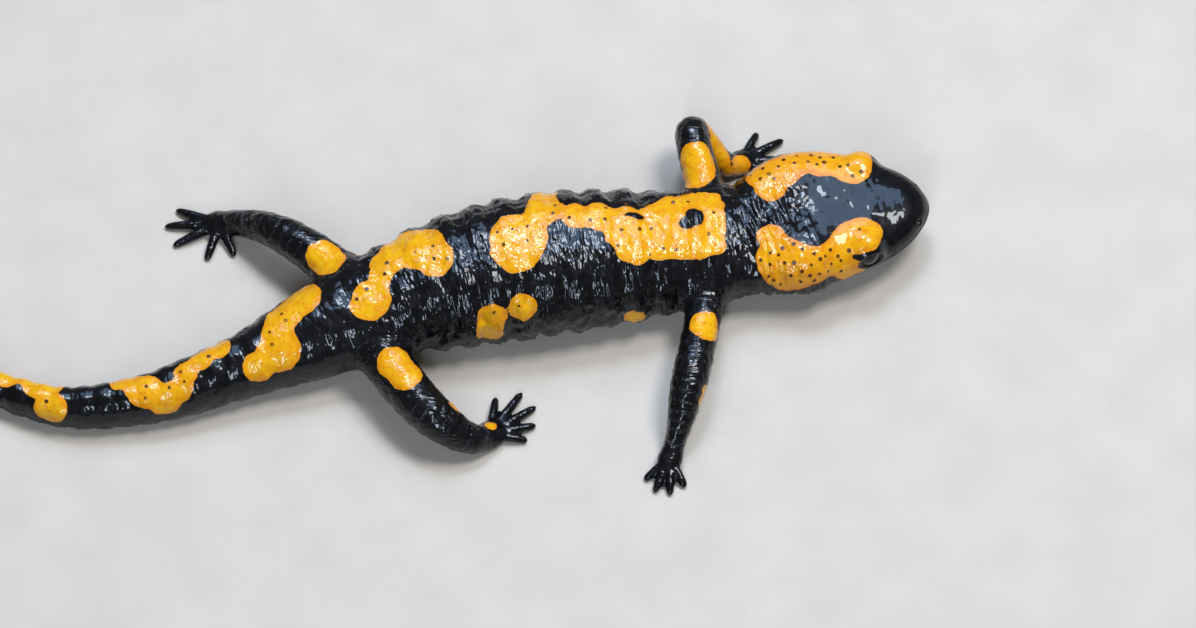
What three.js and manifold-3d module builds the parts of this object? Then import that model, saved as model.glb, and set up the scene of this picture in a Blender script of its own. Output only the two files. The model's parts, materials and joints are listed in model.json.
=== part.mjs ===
// A fire salamander at life size, standing still on a level floor with its head turned a little left.
// Millimetres. +X runs toward the snout, +Y toward the animal's left side and +Z up from the floor.
// The body is one smooth tube of flattened rings from snout to tail tip, parted by thin gaps.

import * as THREE from "three";
import Module from "manifold-3d";

const wasm = await Module();
wasm.setup();

// ---------------------------------------------------------------- driving sizes

const GAP = 0.3; // clearance between two neighbouring nodes
const SNOUT_X = 56.3; // station of the tip of the snout
const TAIL_X = -122.5; // station of the tip of the tail

// stations where the body is parted, from front to back
const HEAD_END = 25.2;
const NECK_END = 18.4;
const CHEST_END = 7.6;
const TRUNK_END = -30.4;
const PELVIS_END = -49.0;
const TAIL_BASE_END = -72.0;
const TAIL_MIDDLE_END = -98.0;

// the line of the spine seen from above: station, sideways place
const SPINE = [
  [SNOUT_X, 16.8], [50, 15.9], [44.5, 15.3], [38, 14.6], [31, 12.4], [24, 10.1],
  [16, 9.0], [2, 7.0], [-12, 5.1], [-26, 1.8], [-38, -2.6], [-50, -8.2],
  [-62, -13.7], [-76, -18.6], [-90, -19.8], [-104, -14.9], [TAIL_X, -5.5],
];

// half of the body's width: station, half width
const HALF_WIDTH = [
  [SNOUT_X, 6.6], [53, 7.8], [49, 8.9], [44.5, 10.5], [39, 12.3], [33, 13.0], [28, 11.4],
  [23.5, 10.1], [17, 10.4], [6, 12.1], [-6, 13.0], [-16, 13.0], [-26, 11.9],
  [-34, 10.2], [-42, 9.0], [-50, 7.6], [-60, 5.5], [-70, 4.7], [-80, 3.9],
  [-92, 3.3], [-104, 2.8], [-114, 2.1], [TAIL_X, 1.5],
];

// height of the back above the floor: station, height
const BACK = [
  [SNOUT_X, 10.3], [52, 11.1], [46, 12.0], [38, 12.9], [30, 13.2], [23, 13.2], [12, 15.0],
  [-2, 17.0], [-16, 17.0], [-28, 15.9], [-38, 14.2], [-48, 12.4], [-60, 10.3],
  [-70, 9.0], [-80, 7.8], [-92, 6.6], [-104, 5.4], [-114, 4.2], [TAIL_X, 3.2],
];

// height of the belly above the floor, a little below it where the weight rests
const BELLY = [
  [SNOUT_X, 4.9], [52, 4.2], [46, 3.4], [38, 2.5], [30, 1.7], [23, 1.1], [12, 0.3],
  [-2, -0.2], [-28, -0.2], [-38, 0.3], [-50, 0.4], [-60, -0.1], [TAIL_X, -0.1],
];

const HEAD_BEARING = 3; // degrees that the head looks left of +X
const HEAD_TURN_START = 33; // station where the neck's own turn begins to give way to it
const HEAD_TURN_END = 41;
const WIDEST_LEVEL = 0.42; // share of the height at which a ring is widest
const UPPER_FULLNESS = 2.2; // 2 is an ellipse, more is boxier
const LOWER_FULLNESS = 2.6;
const SNOUT_ROUNDING = 9.0; // length over which the snout closes in width
const SNOUT_BLUNTNESS = 4.2; // length over which it closes in height
const SNOUT_BACK = 46.5; // the first full ring behind that rounding
const TAIL_ROUNDING = 3.0;

const GROOVE_PITCH = 5.0; // spacing of the rib grooves on the flank
const GROOVE_DEPTH = 0.75;
const GROOVE_FRONT = 13.0;
const GROOVE_BACK = -37.0;
const TAIL_RING_PITCH = 3.6;
const TAIL_RING_DEPTH = 0.22;
const SPINE_FURROW_DEPTH = 0.45;
const SPINE_FURROW_SPREAD = 12; // degrees either side of the top
const SPINE_FURROW_FRONT = 21.0;
const SPINE_FURROW_BACK = -43.0;

const PAROTOID_SWELL = 1.3; // the poison glands behind the eyes
const PAROTOID_MIDDLE = 33.5;
const PAROTOID_HALF_LENGTH = 6.2;
const PAROTOID_ANGLE = 46; // degrees up from the side
const PAROTOID_SPREAD = 24; // degrees
const NAPE_HOLLOW = 0.6; // the dip between the two glands
const NAPE_HALF_LENGTH = 9;
const NAPE_SPREAD = 20; // degrees
const JAW_NOTCH = 0.5; // the fold behind the angle of the jaw
const JAW_NOTCH_HALF_LENGTH = 1.6;

const EYE_X = 44.9;
const EYE_OUT = 7.85; // sideways from the spine line
const EYE_Z = 9.2;
const EYE_RADIUS = 2.7;
const EYE_AIM = 76; // degrees that each eye looks out from straight ahead
const LID = [3.6, 3.35, 3.3]; // half sizes of the lids' dome: along, outward, up
const LID_INSET = 0.45; // the dome sits this much nearer the midline, so the eyeball shows outside
const BROW_SWELL = 0.7; // the raised skin round the eye
const BROW_HALF_LENGTH = 4;
const BROW_ANGLE = 38; // degrees up from the side
const BROW_SPREAD = 26; // degrees

const MOUTH_CORNER_X = 39.8;
const MOUTH_LINE = [[MOUTH_CORNER_X, -15], [43, -10], [48, -8], [SNOUT_X, -7]]; // station, degrees up
const MOUTH_DEPTH = 0.75;
const MOUTH_CLEAR = 0.9; // the slot's cutter stands this far outside the lips
const MOUTH_HALF_HEIGHT = 0.17;
const NOSTRIL = [0.65, 0.48, 0.48]; // half sizes
const NOSTRIL_BACK = 1.9; // from the tip of the snout
const NOSTRIL_ANGLE = 36; // degrees up from the side

// a digit from palm to tip: share of its length, height above the floor; and its radii
const DIGIT_LINE = [[0, 1.1], [0.35, 1.1], [0.7, 0.82], [0.93, 0.52], [1, 0.46]];
const DIGIT_RADII = [0.8, 0.84, 0.76, 0.62, 0.3];

const BODY_SEGMENTS = 28;
const HEAD_SEGMENTS = 36;
const TAIL_SEGMENTS = 16;
const LIMB_SEGMENTS = 12;
const DIGIT_SEGMENTS = 6;

// Each leg: its root inside the body, its middle joint, its ankle or wrist, the middle of the palm,
// its radii, and the bearing (degrees from +X toward +Y) and length of every digit.
const LEGS = {
  front_left: {
    parts: ["upper_arm_left", "forearm_left", "hand_left"],
    path: [
      [18.9, 13.0, 7.2], [18.2, 20.2, 7.8], [16.2, 30.6, 9.0],
      [21.9, 27.9, 2.7], [24.6, 29.4, 1.2],
    ],
    radii: [3.6, 3.3, 2.9, 2.1, 1.5],
    palm: [2.6, 2.2, 1.15],
    digits: [[-24, 6.2], [6, 7.6], [34, 8.4], [66, 6.6]],
  },
  front_right: {
    parts: ["upper_arm_right", "forearm_right", "hand_right"],
    path: [
      [18.2, 3.0, 6.6], [17.8, -4.6, 7.0], [15.5, -16.6, 7.2],
      [12.9, -26.4, 2.2], [12.1, -28.9, 1.2],
    ],
    radii: [3.5, 3.15, 3.2, 1.75, 1.4],
    palm: [2.4, 2.0, 1.15],
    digits: [[-140, 5.3], [-114, 6.2], [-90, 6.2], [-63, 5.3]],
  },
  hind_left: {
    parts: ["thigh_left", "shank_left", "foot_left"],
    path: [
      [-41.5, -1.5, 7.0], [-44.5, 4.4, 7.0], [-54.4, 12.2, 6.6],
      [-62.0, 16.6, 2.4], [-64.6, 17.0, 1.3],
    ],
    radii: [4.5, 3.9, 3.1, 2.2, 1.6],
    palm: [2.9, 2.5, 1.2],
    digits: [[-66, 6.2], [-108, 6.8], [-154, 8.6], [-180, 9.2], [157, 8.0]],
  },
  hind_right: {
    parts: ["thigh_right", "shank_right", "foot_right"],
    path: [
      [-38.2, -5.0, 6.8], [-35.6, -13.0, 6.9], [-27.7, -23.4, 6.4],
      [-21.1, -25.9, 2.8], [-18.2, -24.2, 1.3],
    ],
    radii: [4.9, 4.3, 3.7, 2.6, 1.7],
    palm: [2.9, 2.5, 1.2],
    digits: [[-6, 6.2], [16, 7.8], [37, 9.4], [58, 9.8], [83, 7.4]],
  },
};

// ---------------------------------------------------------------- small helpers

const degrees = THREE.MathUtils.degToRad;

// a smooth curve through knots [place, value], used for every size that changes along the body
function curveThrough(knots) {
  const sorted = [...knots].sort((p, q) => p[0] - q[0]);
  const last = sorted.length - 1;
  const slope = sorted.map((_, i) => {
    const before = sorted[Math.max(i - 1, 0)];
    const after = sorted[Math.min(i + 1, last)];
    return (after[1] - before[1]) / (after[0] - before[0]);
  });
  return (place) => {
    const p = THREE.MathUtils.clamp(place, sorted[0][0], sorted[last][0]);
    let i = 0;
    while (i < last - 1 && p > sorted[i + 1][0]) {
      i += 1;
    }
    const span = sorted[i + 1][0] - sorted[i][0];
    const t = (p - sorted[i][0]) / span;
    const startWeight = 2 * t ** 3 - 3 * t ** 2 + 1;
    const endWeight = 3 * t ** 2 - 2 * t ** 3;
    const startSlope = (t ** 3 - 2 * t ** 2 + t) * span * slope[i];
    const endSlope = (t ** 3 - t ** 2) * span * slope[i + 1];
    return startWeight * sorted[i][1] + endWeight * sorted[i + 1][1] + startSlope + endSlope;
  };
}

// 0 at the tip, 1 once the given length away from it, along a quarter of an ellipse
function roundedEnd(distance, length) {
  const t = THREE.MathUtils.clamp(distance / length, 0, 1);
  return Math.sqrt(1 - (1 - t) ** 2);
}

// a bell: 1 at the middle, near 0 beyond twice the half width
function bell(place, middle, halfWidth) {
  return Math.exp(-(((place - middle) / halfWidth) ** 2));
}

function signedPower(value, power) {
  return Math.sign(value) * Math.abs(value) ** power;
}

function manifoldOf(points, triangles) {
  const vertProperties = new Float32Array(points.flat());
  let volume = 0;
  for (const [i, j, k] of triangles) {
    const a = new THREE.Vector3(...points[i]);
    const b = new THREE.Vector3(...points[j]);
    const c = new THREE.Vector3(...points[k]);
    volume += a.dot(b.cross(c));
  }
  const outward = volume > 0 ? triangles : triangles.map(([i, j, k]) => [i, k, j]);
  const triVerts = new Uint32Array(outward.flat());
  return new wasm.Manifold(new wasm.Mesh({ numProp: 3, vertProperties, triVerts }));
}

// a closed solid skinned over rings of equal point counts, with a fan over each end
function solidOverRings(rings) {
  const count = rings[0].length;
  const points = rings.flat();
  const triangles = [];
  for (let r = 0; r < rings.length - 1; r += 1) {
    for (let i = 0; i < count; i += 1) {
      const next = (i + 1) % count;
      const a = r * count + i;
      const b = r * count + next;
      triangles.push([a, b, a + count]);
      triangles.push([b, b + count, a + count]);
    }
  }
  for (const r of [0, rings.length - 1]) {
    const middle = [0, 1, 2].map((axis) => rings[r].reduce((sum, p) => sum + p[axis], 0) / count);
    const centre = points.push(middle) - 1;
    for (let i = 0; i < count; i += 1) {
      const a = r * count + i;
      const b = r * count + ((i + 1) % count);
      triangles.push(r === 0 ? [b, a, centre] : [a, b, centre]);
    }
  }
  return manifoldOf(points, triangles);
}

// a ball squashed to three half sizes, turned by a bearing about Z and a tilt
function ball(centre, halfSizes, bearing = 0, tilt = 0, segments = 16) {
  const turn = new THREE.Euler(degrees(tilt), 0, degrees(bearing), "ZXY");
  const rings = [];
  const steps = Math.round(segments * 0.6);
  for (let s = 1; s < steps; s += 1) {
    const polar = (Math.PI * s) / steps;
    const ring = [];
    for (let i = 0; i < segments; i += 1) {
      const around = (2 * Math.PI * i) / segments;
      const p = new THREE.Vector3(
        halfSizes[0] * Math.sin(polar) * Math.cos(around),
        halfSizes[1] * Math.cos(polar),
        halfSizes[2] * Math.sin(polar) * Math.sin(around),
      );
      p.applyEuler(turn);
      ring.push([centre[0] + p.x, centre[1] + p.y, centre[2] + p.z]);
    }
    rings.push(ring);
  }
  return solidOverRings(rings);
}

function largestPiece(solid) {
  const pieces = solid.decompose();
  return pieces.reduce((best, piece) => (piece.volume() > best.volume() ? piece : best));
}

// ---------------------------------------------------------------- the body's surface

const spineAt = curveThrough(SPINE);
const halfWidthAt = curveThrough(HALF_WIDTH);
const backAt = curveThrough(BACK);
const bellyAt = curveThrough(BELLY);

// the unit direction that a ring of the body faces at a station, seen from above
function spineDirection(x) {
  const reach = 0.6;
  const along = Math.atan2(spineAt(x + reach) - spineAt(x - reach), 2 * reach);
  const share = THREE.MathUtils.smoothstep(x, HEAD_TURN_START, HEAD_TURN_END);
  const bearing = THREE.MathUtils.lerp(along, degrees(HEAD_BEARING), share);
  return [Math.cos(bearing), Math.sin(bearing)];
}

// how far the surface bulges at a station and an angle, in millimetres
function surfaceRelief(x, angle) {
  const side = Math.abs(Math.cos(angle));
  const up = Math.sin(angle);
  const tilt = THREE.MathUtils.radToDeg(Math.asin(up));
  let relief = 0;
  if (x < GROOVE_FRONT && x > GROOVE_BACK) {
    const ends = Math.min(GROOVE_FRONT - x, x - GROOVE_BACK, 4) / 4;
    const wave = (0.5 + 0.5 * Math.cos((2 * Math.PI * (x - GROOVE_FRONT)) / GROOVE_PITCH)) ** 2;
    relief -= GROOVE_DEPTH * wave * side * ends;
  }
  if (x < SPINE_FURROW_FRONT && x > SPINE_FURROW_BACK && up > 0) {
    relief -= SPINE_FURROW_DEPTH * bell(tilt, 90, SPINE_FURROW_SPREAD);
  }
  if (x < PELVIS_END) {
    const wave = (0.5 + 0.5 * Math.cos((2 * Math.PI * (x - PELVIS_END)) / TAIL_RING_PITCH)) ** 2;
    const ends = Math.min((PELVIS_END - x) / 6, (x - TAIL_X) / 6, 1);
    relief -= TAIL_RING_DEPTH * wave * ends;
  }
  const along = bell(x, PAROTOID_MIDDLE, PAROTOID_HALF_LENGTH);
  relief += PAROTOID_SWELL * along * bell(tilt, PAROTOID_ANGLE, PAROTOID_SPREAD);
  relief -= NAPE_HOLLOW * bell(x, PAROTOID_MIDDLE, NAPE_HALF_LENGTH) * bell(tilt, 90, NAPE_SPREAD);
  relief += BROW_SWELL * bell(x, EYE_X, BROW_HALF_LENGTH) * bell(tilt, BROW_ANGLE, BROW_SPREAD);
  relief -= JAW_NOTCH * bell(x, HEAD_END, JAW_NOTCH_HALF_LENGTH) * Math.max(0, 0.4 - up);
  return relief;
}

// a point of the body's surface: angle 0 is the left side, 90 degrees the back, 270 the belly
function bodyPoint(x, angle, swell = 0) {
  const back = backAt(x);
  const belly = bellyAt(x);
  const tailEnd = roundedEnd(x - TAIL_X, TAIL_ROUNDING);
  const wide = halfWidthAt(x) * roundedEnd(SNOUT_X - x, SNOUT_ROUNDING) * tailEnd;
  const tall = roundedEnd(SNOUT_X - x, SNOUT_BLUNTNESS) * tailEnd;
  const level = belly + WIDEST_LEVEL * (back - belly);
  const up = Math.sin(angle);
  const power = 2 / (up >= 0 ? UPPER_FULLNESS : LOWER_FULLNESS);
  const height = (up >= 0 ? back - level : level - belly) * tall;
  const grow = surfaceRelief(x, angle) * tall + swell;
  const sideways = (wide + grow) * signedPower(Math.cos(angle), power);
  const upward = (height + grow) * signedPower(up, power);
  const [ahead, across] = spineDirection(x);
  return [x - across * sideways, spineAt(x) + ahead * sideways, level + upward];
}

function bodyRing(x, segments, swell = 0) {
  return Array.from({ length: segments }, (_, i) => bodyPoint(x, (2 * Math.PI * i) / segments, swell));
}

// stations from front to back about one step apart
function stations(front, back, step) {
  const count = Math.max(1, Math.round((front - back) / step));
  return Array.from({ length: count + 1 }, (_, i) => front + ((back - front) * i) / count);
}

// a length of the body between two stations, half a gap short at each parted end
function bodyLength(front, back, step, segments) {
  const rings = stations(front - GAP / 2, back + GAP / 2, step).map((x) => bodyRing(x, segments));
  return solidOverRings(rings);
}

function aboveFloor(solid) {
  return solid.trimByPlane([0, 0, 1], 0);
}

// ---------------------------------------------------------------- head and eyes

// stations that crowd toward the tip, so that the rounding stays smooth
function tipStations(tip, length, count, inward) {
  return Array.from({ length: count }, (_, i) => {
    const turn = ((i + 0.35) / count) * (Math.PI / 2);
    return tip + inward * length * (1 - Math.cos(turn));
  });
}

function eyeCentre(side) {
  const [ahead, across] = spineDirection(EYE_X);
  return [EYE_X - across * EYE_OUT * side, spineAt(EYE_X) + ahead * EYE_OUT * side, EYE_Z];
}

// the thin slot between the lips, from one corner of the mouth round the snout to the other
function mouthSlot() {
  const mouthAngle = curveThrough(MOUTH_LINE);
  const front = tipStations(SNOUT_X, SNOUT_ROUNDING, 7, -1);
  const places = [...front, ...stations(SNOUT_BACK, MOUTH_CORNER_X, 1.7)];
  const right = places.map((x) => bodyPoint(x, Math.PI - degrees(mouthAngle(x))));
  const left = places.map((x) => bodyPoint(x, degrees(mouthAngle(x))));
  const path = [...left.reverse(), ...right];
  const rings = path.map((p, i) => {
    const before = path[Math.max(i - 1, 0)];
    const after = path[Math.min(i + 1, path.length - 1)];
    const run = Math.hypot(after[0] - before[0], after[1] - before[1]);
    const out = [-(after[1] - before[1]) / run, (after[0] - before[0]) / run];
    const corner = (reach, lift) => [p[0] + out[0] * reach, p[1] + out[1] * reach, p[2] + lift];
    return [
      corner(-MOUTH_DEPTH, -MOUTH_HALF_HEIGHT),
      corner(MOUTH_CLEAR, -MOUTH_HALF_HEIGHT),
      corner(MOUTH_CLEAR, MOUTH_HALF_HEIGHT),
      corner(-MOUTH_DEPTH, MOUTH_HALF_HEIGHT),
    ];
  });
  return solidOverRings(rings);
}

function makeHead() {
  const front = tipStations(SNOUT_X, SNOUT_ROUNDING, 9, -1);
  const rest = stations(SNOUT_BACK, HEAD_END + GAP / 2, 1.25);
  let head = solidOverRings([...front, ...rest].map((x) => bodyRing(x, HEAD_SEGMENTS)));
  for (const side of [1, -1]) {
    const centre = eyeCentre(side);
    const aim = HEAD_BEARING + EYE_AIM * side;
    const socket = EYE_RADIUS + GAP;
    const dome = [
      centre[0] - LID_INSET * Math.cos(degrees(aim)),
      centre[1] - LID_INSET * Math.sin(degrees(aim)),
      centre[2],
    ];
    const nose = bodyPoint(SNOUT_X - NOSTRIL_BACK, degrees(90 - (90 - NOSTRIL_ANGLE) * side));
    head = head.add(ball(dome, LID, aim - 90 * side, 0, 20));
    head = head.subtract(ball(centre, [socket, socket, socket], aim - 90 * side, 0, 20));
    head = head.subtract(ball(nose, NOSTRIL, HEAD_BEARING, 0, 8));
  }
  return largestPiece(head.subtract(mouthSlot()));
}

// ---------------------------------------------------------------- legs

// rings round a smooth line of points, upright enough for legs that run mostly sideways
function tube(path, radii, steps, segments) {
  const line = new THREE.CatmullRomCurve3(path.map((p) => new THREE.Vector3(...p)), false, "centripetal");
  const radiusAt = curveThrough(radii.map((r, i) => [i / (radii.length - 1), r]));
  const rings = [];
  for (let s = 0; s <= steps; s += 1) {
    const t = s / steps;
    const centre = line.getPoint(t);
    const ahead = line.getTangent(t);
    const side = new THREE.Vector3(0, 0, 1).cross(ahead).normalize();
    const up = ahead.clone().cross(side);
    const ring = [];
    for (let i = 0; i < segments; i += 1) {
      const around = (2 * Math.PI * i) / segments;
      const p = centre.clone();
      p.addScaledVector(side, radiusAt(t) * Math.cos(around));
      p.addScaledVector(up, radiusAt(t) * Math.sin(around));
      ring.push(p.toArray());
    }
    rings.push(ring);
  }
  return solidOverRings(rings);
}

// one digit from the middle of the palm, low at its rounded tip
function digit(palmCentre, bearing, length) {
  const ahead = [Math.cos(degrees(bearing)), Math.sin(degrees(bearing))];
  const at = (share, z) => [
    palmCentre[0] + ahead[0] * length * share,
    palmCentre[1] + ahead[1] * length * share,
    z,
  ];
  const path = DIGIT_LINE.map(([share, z]) => at(share, z));
  return tube(path, DIGIT_RADII, 6, DIGIT_SEGMENTS);
}

// the plane across a limb at one of its joints: unit normal along the limb, and offset
function jointPlane(path, index) {
  const before = new THREE.Vector3(...path[index - 1]);
  const here = new THREE.Vector3(...path[index]);
  const after = new THREE.Vector3(...path[index + 1]);
  const inward = here.clone().sub(before).normalize();
  const outward = after.clone().sub(here).normalize();
  const normal = inward.add(outward).normalize();
  return { normal, offset: normal.dot(here) };
}

function makeLeg(leg, bodyHull) {
  const palmCentre = leg.path[leg.path.length - 1];
  const wrist = leg.path[leg.path.length - 2];
  const bearing = Math.atan2(palmCentre[1] - wrist[1], palmCentre[0] - wrist[0]);
  let whole = tube(leg.path, leg.radii, 18, LIMB_SEGMENTS);
  whole = whole.add(ball(palmCentre, leg.palm, THREE.MathUtils.radToDeg(bearing), 0, 12));
  for (const [digitBearing, length] of leg.digits) {
    whole = whole.add(digit(palmCentre, digitBearing, length));
  }
  whole = aboveFloor(whole.subtract(bodyHull));
  const knee = jointPlane(leg.path, 2);
  const ankle = jointPlane(leg.path, 3);
  const back = (plane) => [-plane.normal.x, -plane.normal.y, -plane.normal.z];
  const upper = whole.trimByPlane(back(knee), -(knee.offset - GAP / 2));
  const beyondKnee = whole.trimByPlane(knee.normal.toArray(), knee.offset + GAP / 2);
  const middle = beyondKnee.trimByPlane(back(ankle), -(ankle.offset - GAP / 2));
  const foot = beyondKnee.trimByPlane(ankle.normal.toArray(), ankle.offset + GAP / 2);
  return [upper, middle, foot].map(largestPiece);
}

// ---------------------------------------------------------------- assembly

const root = new THREE.Group();
root.name = "fire_salamander";

const skin = { color: 0x101013, roughness: 0.3, metalness: 0 };
const eyeSurface = { color: 0x050505, roughness: 0.08, metalness: 0 };

function addNode(name, solid, look) {
  const shape = solid.getMesh();
  const geometry = new THREE.BufferGeometry();
  const corners = [];
  for (let v = 0; v < shape.vertProperties.length; v += shape.numProp) {
    corners.push(shape.vertProperties[v], shape.vertProperties[v + 1], shape.vertProperties[v + 2]);
  }
  geometry.setAttribute("position", new THREE.Float32BufferAttribute(corners, 3));
  geometry.setIndex(Array.from(shape.triVerts));
  geometry.computeVertexNormals();
  const mesh = new THREE.Mesh(geometry, new THREE.MeshStandardMaterial(look));
  mesh.name = name;
  root.add(mesh);
}

addNode("head", makeHead(), skin);
addNode("eye_left", ball(eyeCentre(1), [EYE_RADIUS, EYE_RADIUS, EYE_RADIUS], 0, 0, 16), eyeSurface);
addNode("eye_right", ball(eyeCentre(-1), [EYE_RADIUS, EYE_RADIUS, EYE_RADIUS], 0, 0, 16), eyeSurface);
addNode("neck", aboveFloor(bodyLength(HEAD_END, NECK_END, 1.7, BODY_SEGMENTS)), skin);
addNode("chest", aboveFloor(bodyLength(NECK_END, CHEST_END, 1.8, BODY_SEGMENTS)), skin);
addNode("trunk", aboveFloor(bodyLength(CHEST_END, TRUNK_END, 1.25, BODY_SEGMENTS)), skin);
addNode("pelvis", aboveFloor(bodyLength(TRUNK_END, PELVIS_END, 1.8, BODY_SEGMENTS)), skin);
addNode("tail_base", aboveFloor(bodyLength(PELVIS_END, TAIL_BASE_END, 1.8, TAIL_SEGMENTS)), skin);
addNode("tail_middle", aboveFloor(bodyLength(TAIL_BASE_END, TAIL_MIDDLE_END, 1.8, TAIL_SEGMENTS)), skin);

const tailTipRings = [
  ...stations(TAIL_MIDDLE_END - GAP / 2, TAIL_X + TAIL_ROUNDING, 2.0),
  ...tipStations(TAIL_X, TAIL_ROUNDING, 4, 1).reverse(),
].map((x) => bodyRing(x, TAIL_SEGMENTS));
addNode("tail_tip", aboveFloor(solidOverRings(tailTipRings)), skin);

const bodyHull = solidOverRings(stations(30, -66, 1.25).map((x) => bodyRing(x, BODY_SEGMENTS, GAP)));
for (const leg of Object.values(LEGS)) {
  makeLeg(leg, bodyHull).forEach((solid, i) => addNode(leg.parts[i], solid, skin));
}

// the origin lies on the floor under the middle of the whole animal's bounds
const bounds = new THREE.Box3().setFromObject(root);
const middle = bounds.getCenter(new THREE.Vector3());
for (const mesh of root.children) {
  mesh.geometry.translate(-middle.x, -middle.y, -bounds.min.z);
}

export default root;
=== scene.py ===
# %% [markdown]
# # A fire salamander at life size
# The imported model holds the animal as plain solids: head, trunk, legs and tail, with thin gaps between
# them. Here they get one smooth, wet, patterned skin, two glossy eyes and the pores of the glands.
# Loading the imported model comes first, because each new piece has to ride on its body.

import json
import math

import bmesh
import bpy
import numpy as np
from mathutils import Matrix, Vector, noise
from mathutils.bvhtree import BVHTree

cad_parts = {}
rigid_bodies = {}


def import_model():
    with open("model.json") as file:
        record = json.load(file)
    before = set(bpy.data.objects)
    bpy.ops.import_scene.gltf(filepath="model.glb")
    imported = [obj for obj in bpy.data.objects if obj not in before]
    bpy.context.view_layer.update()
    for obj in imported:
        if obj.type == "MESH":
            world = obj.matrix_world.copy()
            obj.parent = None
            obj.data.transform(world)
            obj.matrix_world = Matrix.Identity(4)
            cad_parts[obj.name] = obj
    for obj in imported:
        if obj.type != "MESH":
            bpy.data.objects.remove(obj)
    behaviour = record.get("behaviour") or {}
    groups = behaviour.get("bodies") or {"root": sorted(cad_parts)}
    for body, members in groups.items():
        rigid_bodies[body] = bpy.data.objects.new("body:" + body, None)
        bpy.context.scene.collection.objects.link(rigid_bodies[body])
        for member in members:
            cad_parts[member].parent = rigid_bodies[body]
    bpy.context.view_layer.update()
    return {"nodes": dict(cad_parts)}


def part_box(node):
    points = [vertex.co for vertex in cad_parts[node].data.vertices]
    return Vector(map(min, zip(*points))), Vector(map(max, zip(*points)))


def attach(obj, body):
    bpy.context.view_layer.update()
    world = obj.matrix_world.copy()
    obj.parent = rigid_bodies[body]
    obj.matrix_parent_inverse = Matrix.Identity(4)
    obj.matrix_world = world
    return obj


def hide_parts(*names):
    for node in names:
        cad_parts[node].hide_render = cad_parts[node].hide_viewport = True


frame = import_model()
FLESH = sorted(name for name in frame["nodes"] if not name.startswith("eye_"))

# %% [markdown]
# ## The sizes of the animal
# A salamander's body is one long tube. Four curves say all about it: where the spine runs seen from
# above, how wide the body is, and how high the back and the belly are at each station along it.
# They are the curves that the solids were made from, in millimetres, so that the skin fits the solids.

# %% Curves of the body
SNOUT_X, TAIL_X = 56.3, -122.5
SPINE = [
    (SNOUT_X, 16.8), (50, 15.9), (44.5, 15.3), (38, 14.6), (31, 12.4), (24, 10.1), (16, 9), (2, 7),
    (-12, 5.1), (-26, 1.8), (-38, -2.6), (-50, -8.2), (-62, -13.7), (-76, -18.6), (-90, -19.8),
    (-104, -14.9), (TAIL_X, -5.5),
]
HALF_WIDTH = [
    (SNOUT_X, 6.6), (53, 7.8), (49, 8.9), (44.5, 10.5), (39, 12.3), (33, 13), (28, 11.4), (23.5, 10.1),
    (17, 10.4), (6, 12.1), (-6, 13), (-16, 13), (-26, 11.9), (-34, 10.2), (-42, 9), (-50, 7.6),
    (-60, 5.5), (-70, 4.7), (-80, 3.9), (-92, 3.3), (-104, 2.8), (-114, 2.1), (TAIL_X, 1.5),
]
BACK = [
    (SNOUT_X, 10.3), (52, 11.1), (46, 12), (38, 12.9), (30, 13.2), (23, 13.2), (12, 15), (-2, 17),
    (-16, 17), (-28, 15.9), (-38, 14.2), (-48, 12.4), (-60, 10.3), (-70, 9), (-80, 7.8), (-92, 6.6),
    (-104, 5.4), (-114, 4.2), (TAIL_X, 3.2),
]
BELLY = [
    (SNOUT_X, 4.9), (52, 4.2), (46, 3.4), (38, 2.5), (30, 1.7), (23, 1.1), (12, 0.3), (-2, -0.2),
    (-28, -0.2), (-38, 0.3), (-50, 0.4), (-60, -0.1), (TAIL_X, -0.1),
]
WIDEST_LEVEL = 0.42
UPPER_FULLNESS, LOWER_FULLNESS = 2.2, 2.6
SNOUT_ROUNDING, SNOUT_BLUNTNESS, TAIL_ROUNDING = 9.0, 4.2, 3.0
HEAD_BEARING, HEAD_TURN = 3.0, (33.0, 41.0)


def curve_through(knots):
    """A smooth curve through (place, value) knots, as a function that takes whole arrays."""
    place, value = np.array(sorted(knots), float).T
    slope = np.empty_like(value)
    slope[1:-1] = (value[2:] - value[:-2]) / (place[2:] - place[:-2])
    slope[0] = (value[1] - value[0]) / (place[1] - place[0])
    slope[-1] = (value[-1] - value[-2]) / (place[-1] - place[-2])

    def at(x):
        x = np.clip(np.asarray(x, float), place[0], place[-1])
        i = np.clip(np.searchsorted(place, x) - 1, 0, len(place) - 2)
        span = place[i + 1] - place[i]
        t = (x - place[i]) / span
        ends = (2 * t**3 - 3 * t**2 + 1) * value[i] + (3 * t**2 - 2 * t**3) * value[i + 1]
        bends = (t**3 - 2 * t**2 + t) * slope[i] + (t**3 - t**2) * slope[i + 1]
        return ends + span * bends

    return at


spine_at, half_width_at, back_at, belly_at = map(curve_through, (SPINE, HALF_WIDTH, BACK, BELLY))
print("snout to tail tip along X:", SNOUT_X - TAIL_X, "mm")

# %% [markdown]
# ## The swellings and grooves of the body
# On the living animal the ribs press a row of upright grooves into the flanks, a poison gland swells
# behind each eye, and faint rings run round the tail. Each is a small height added to the tube, written
# as a bell-shaped bump at a station and an angle. Angle 0 is the left side and 90 degrees is the back.

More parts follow.
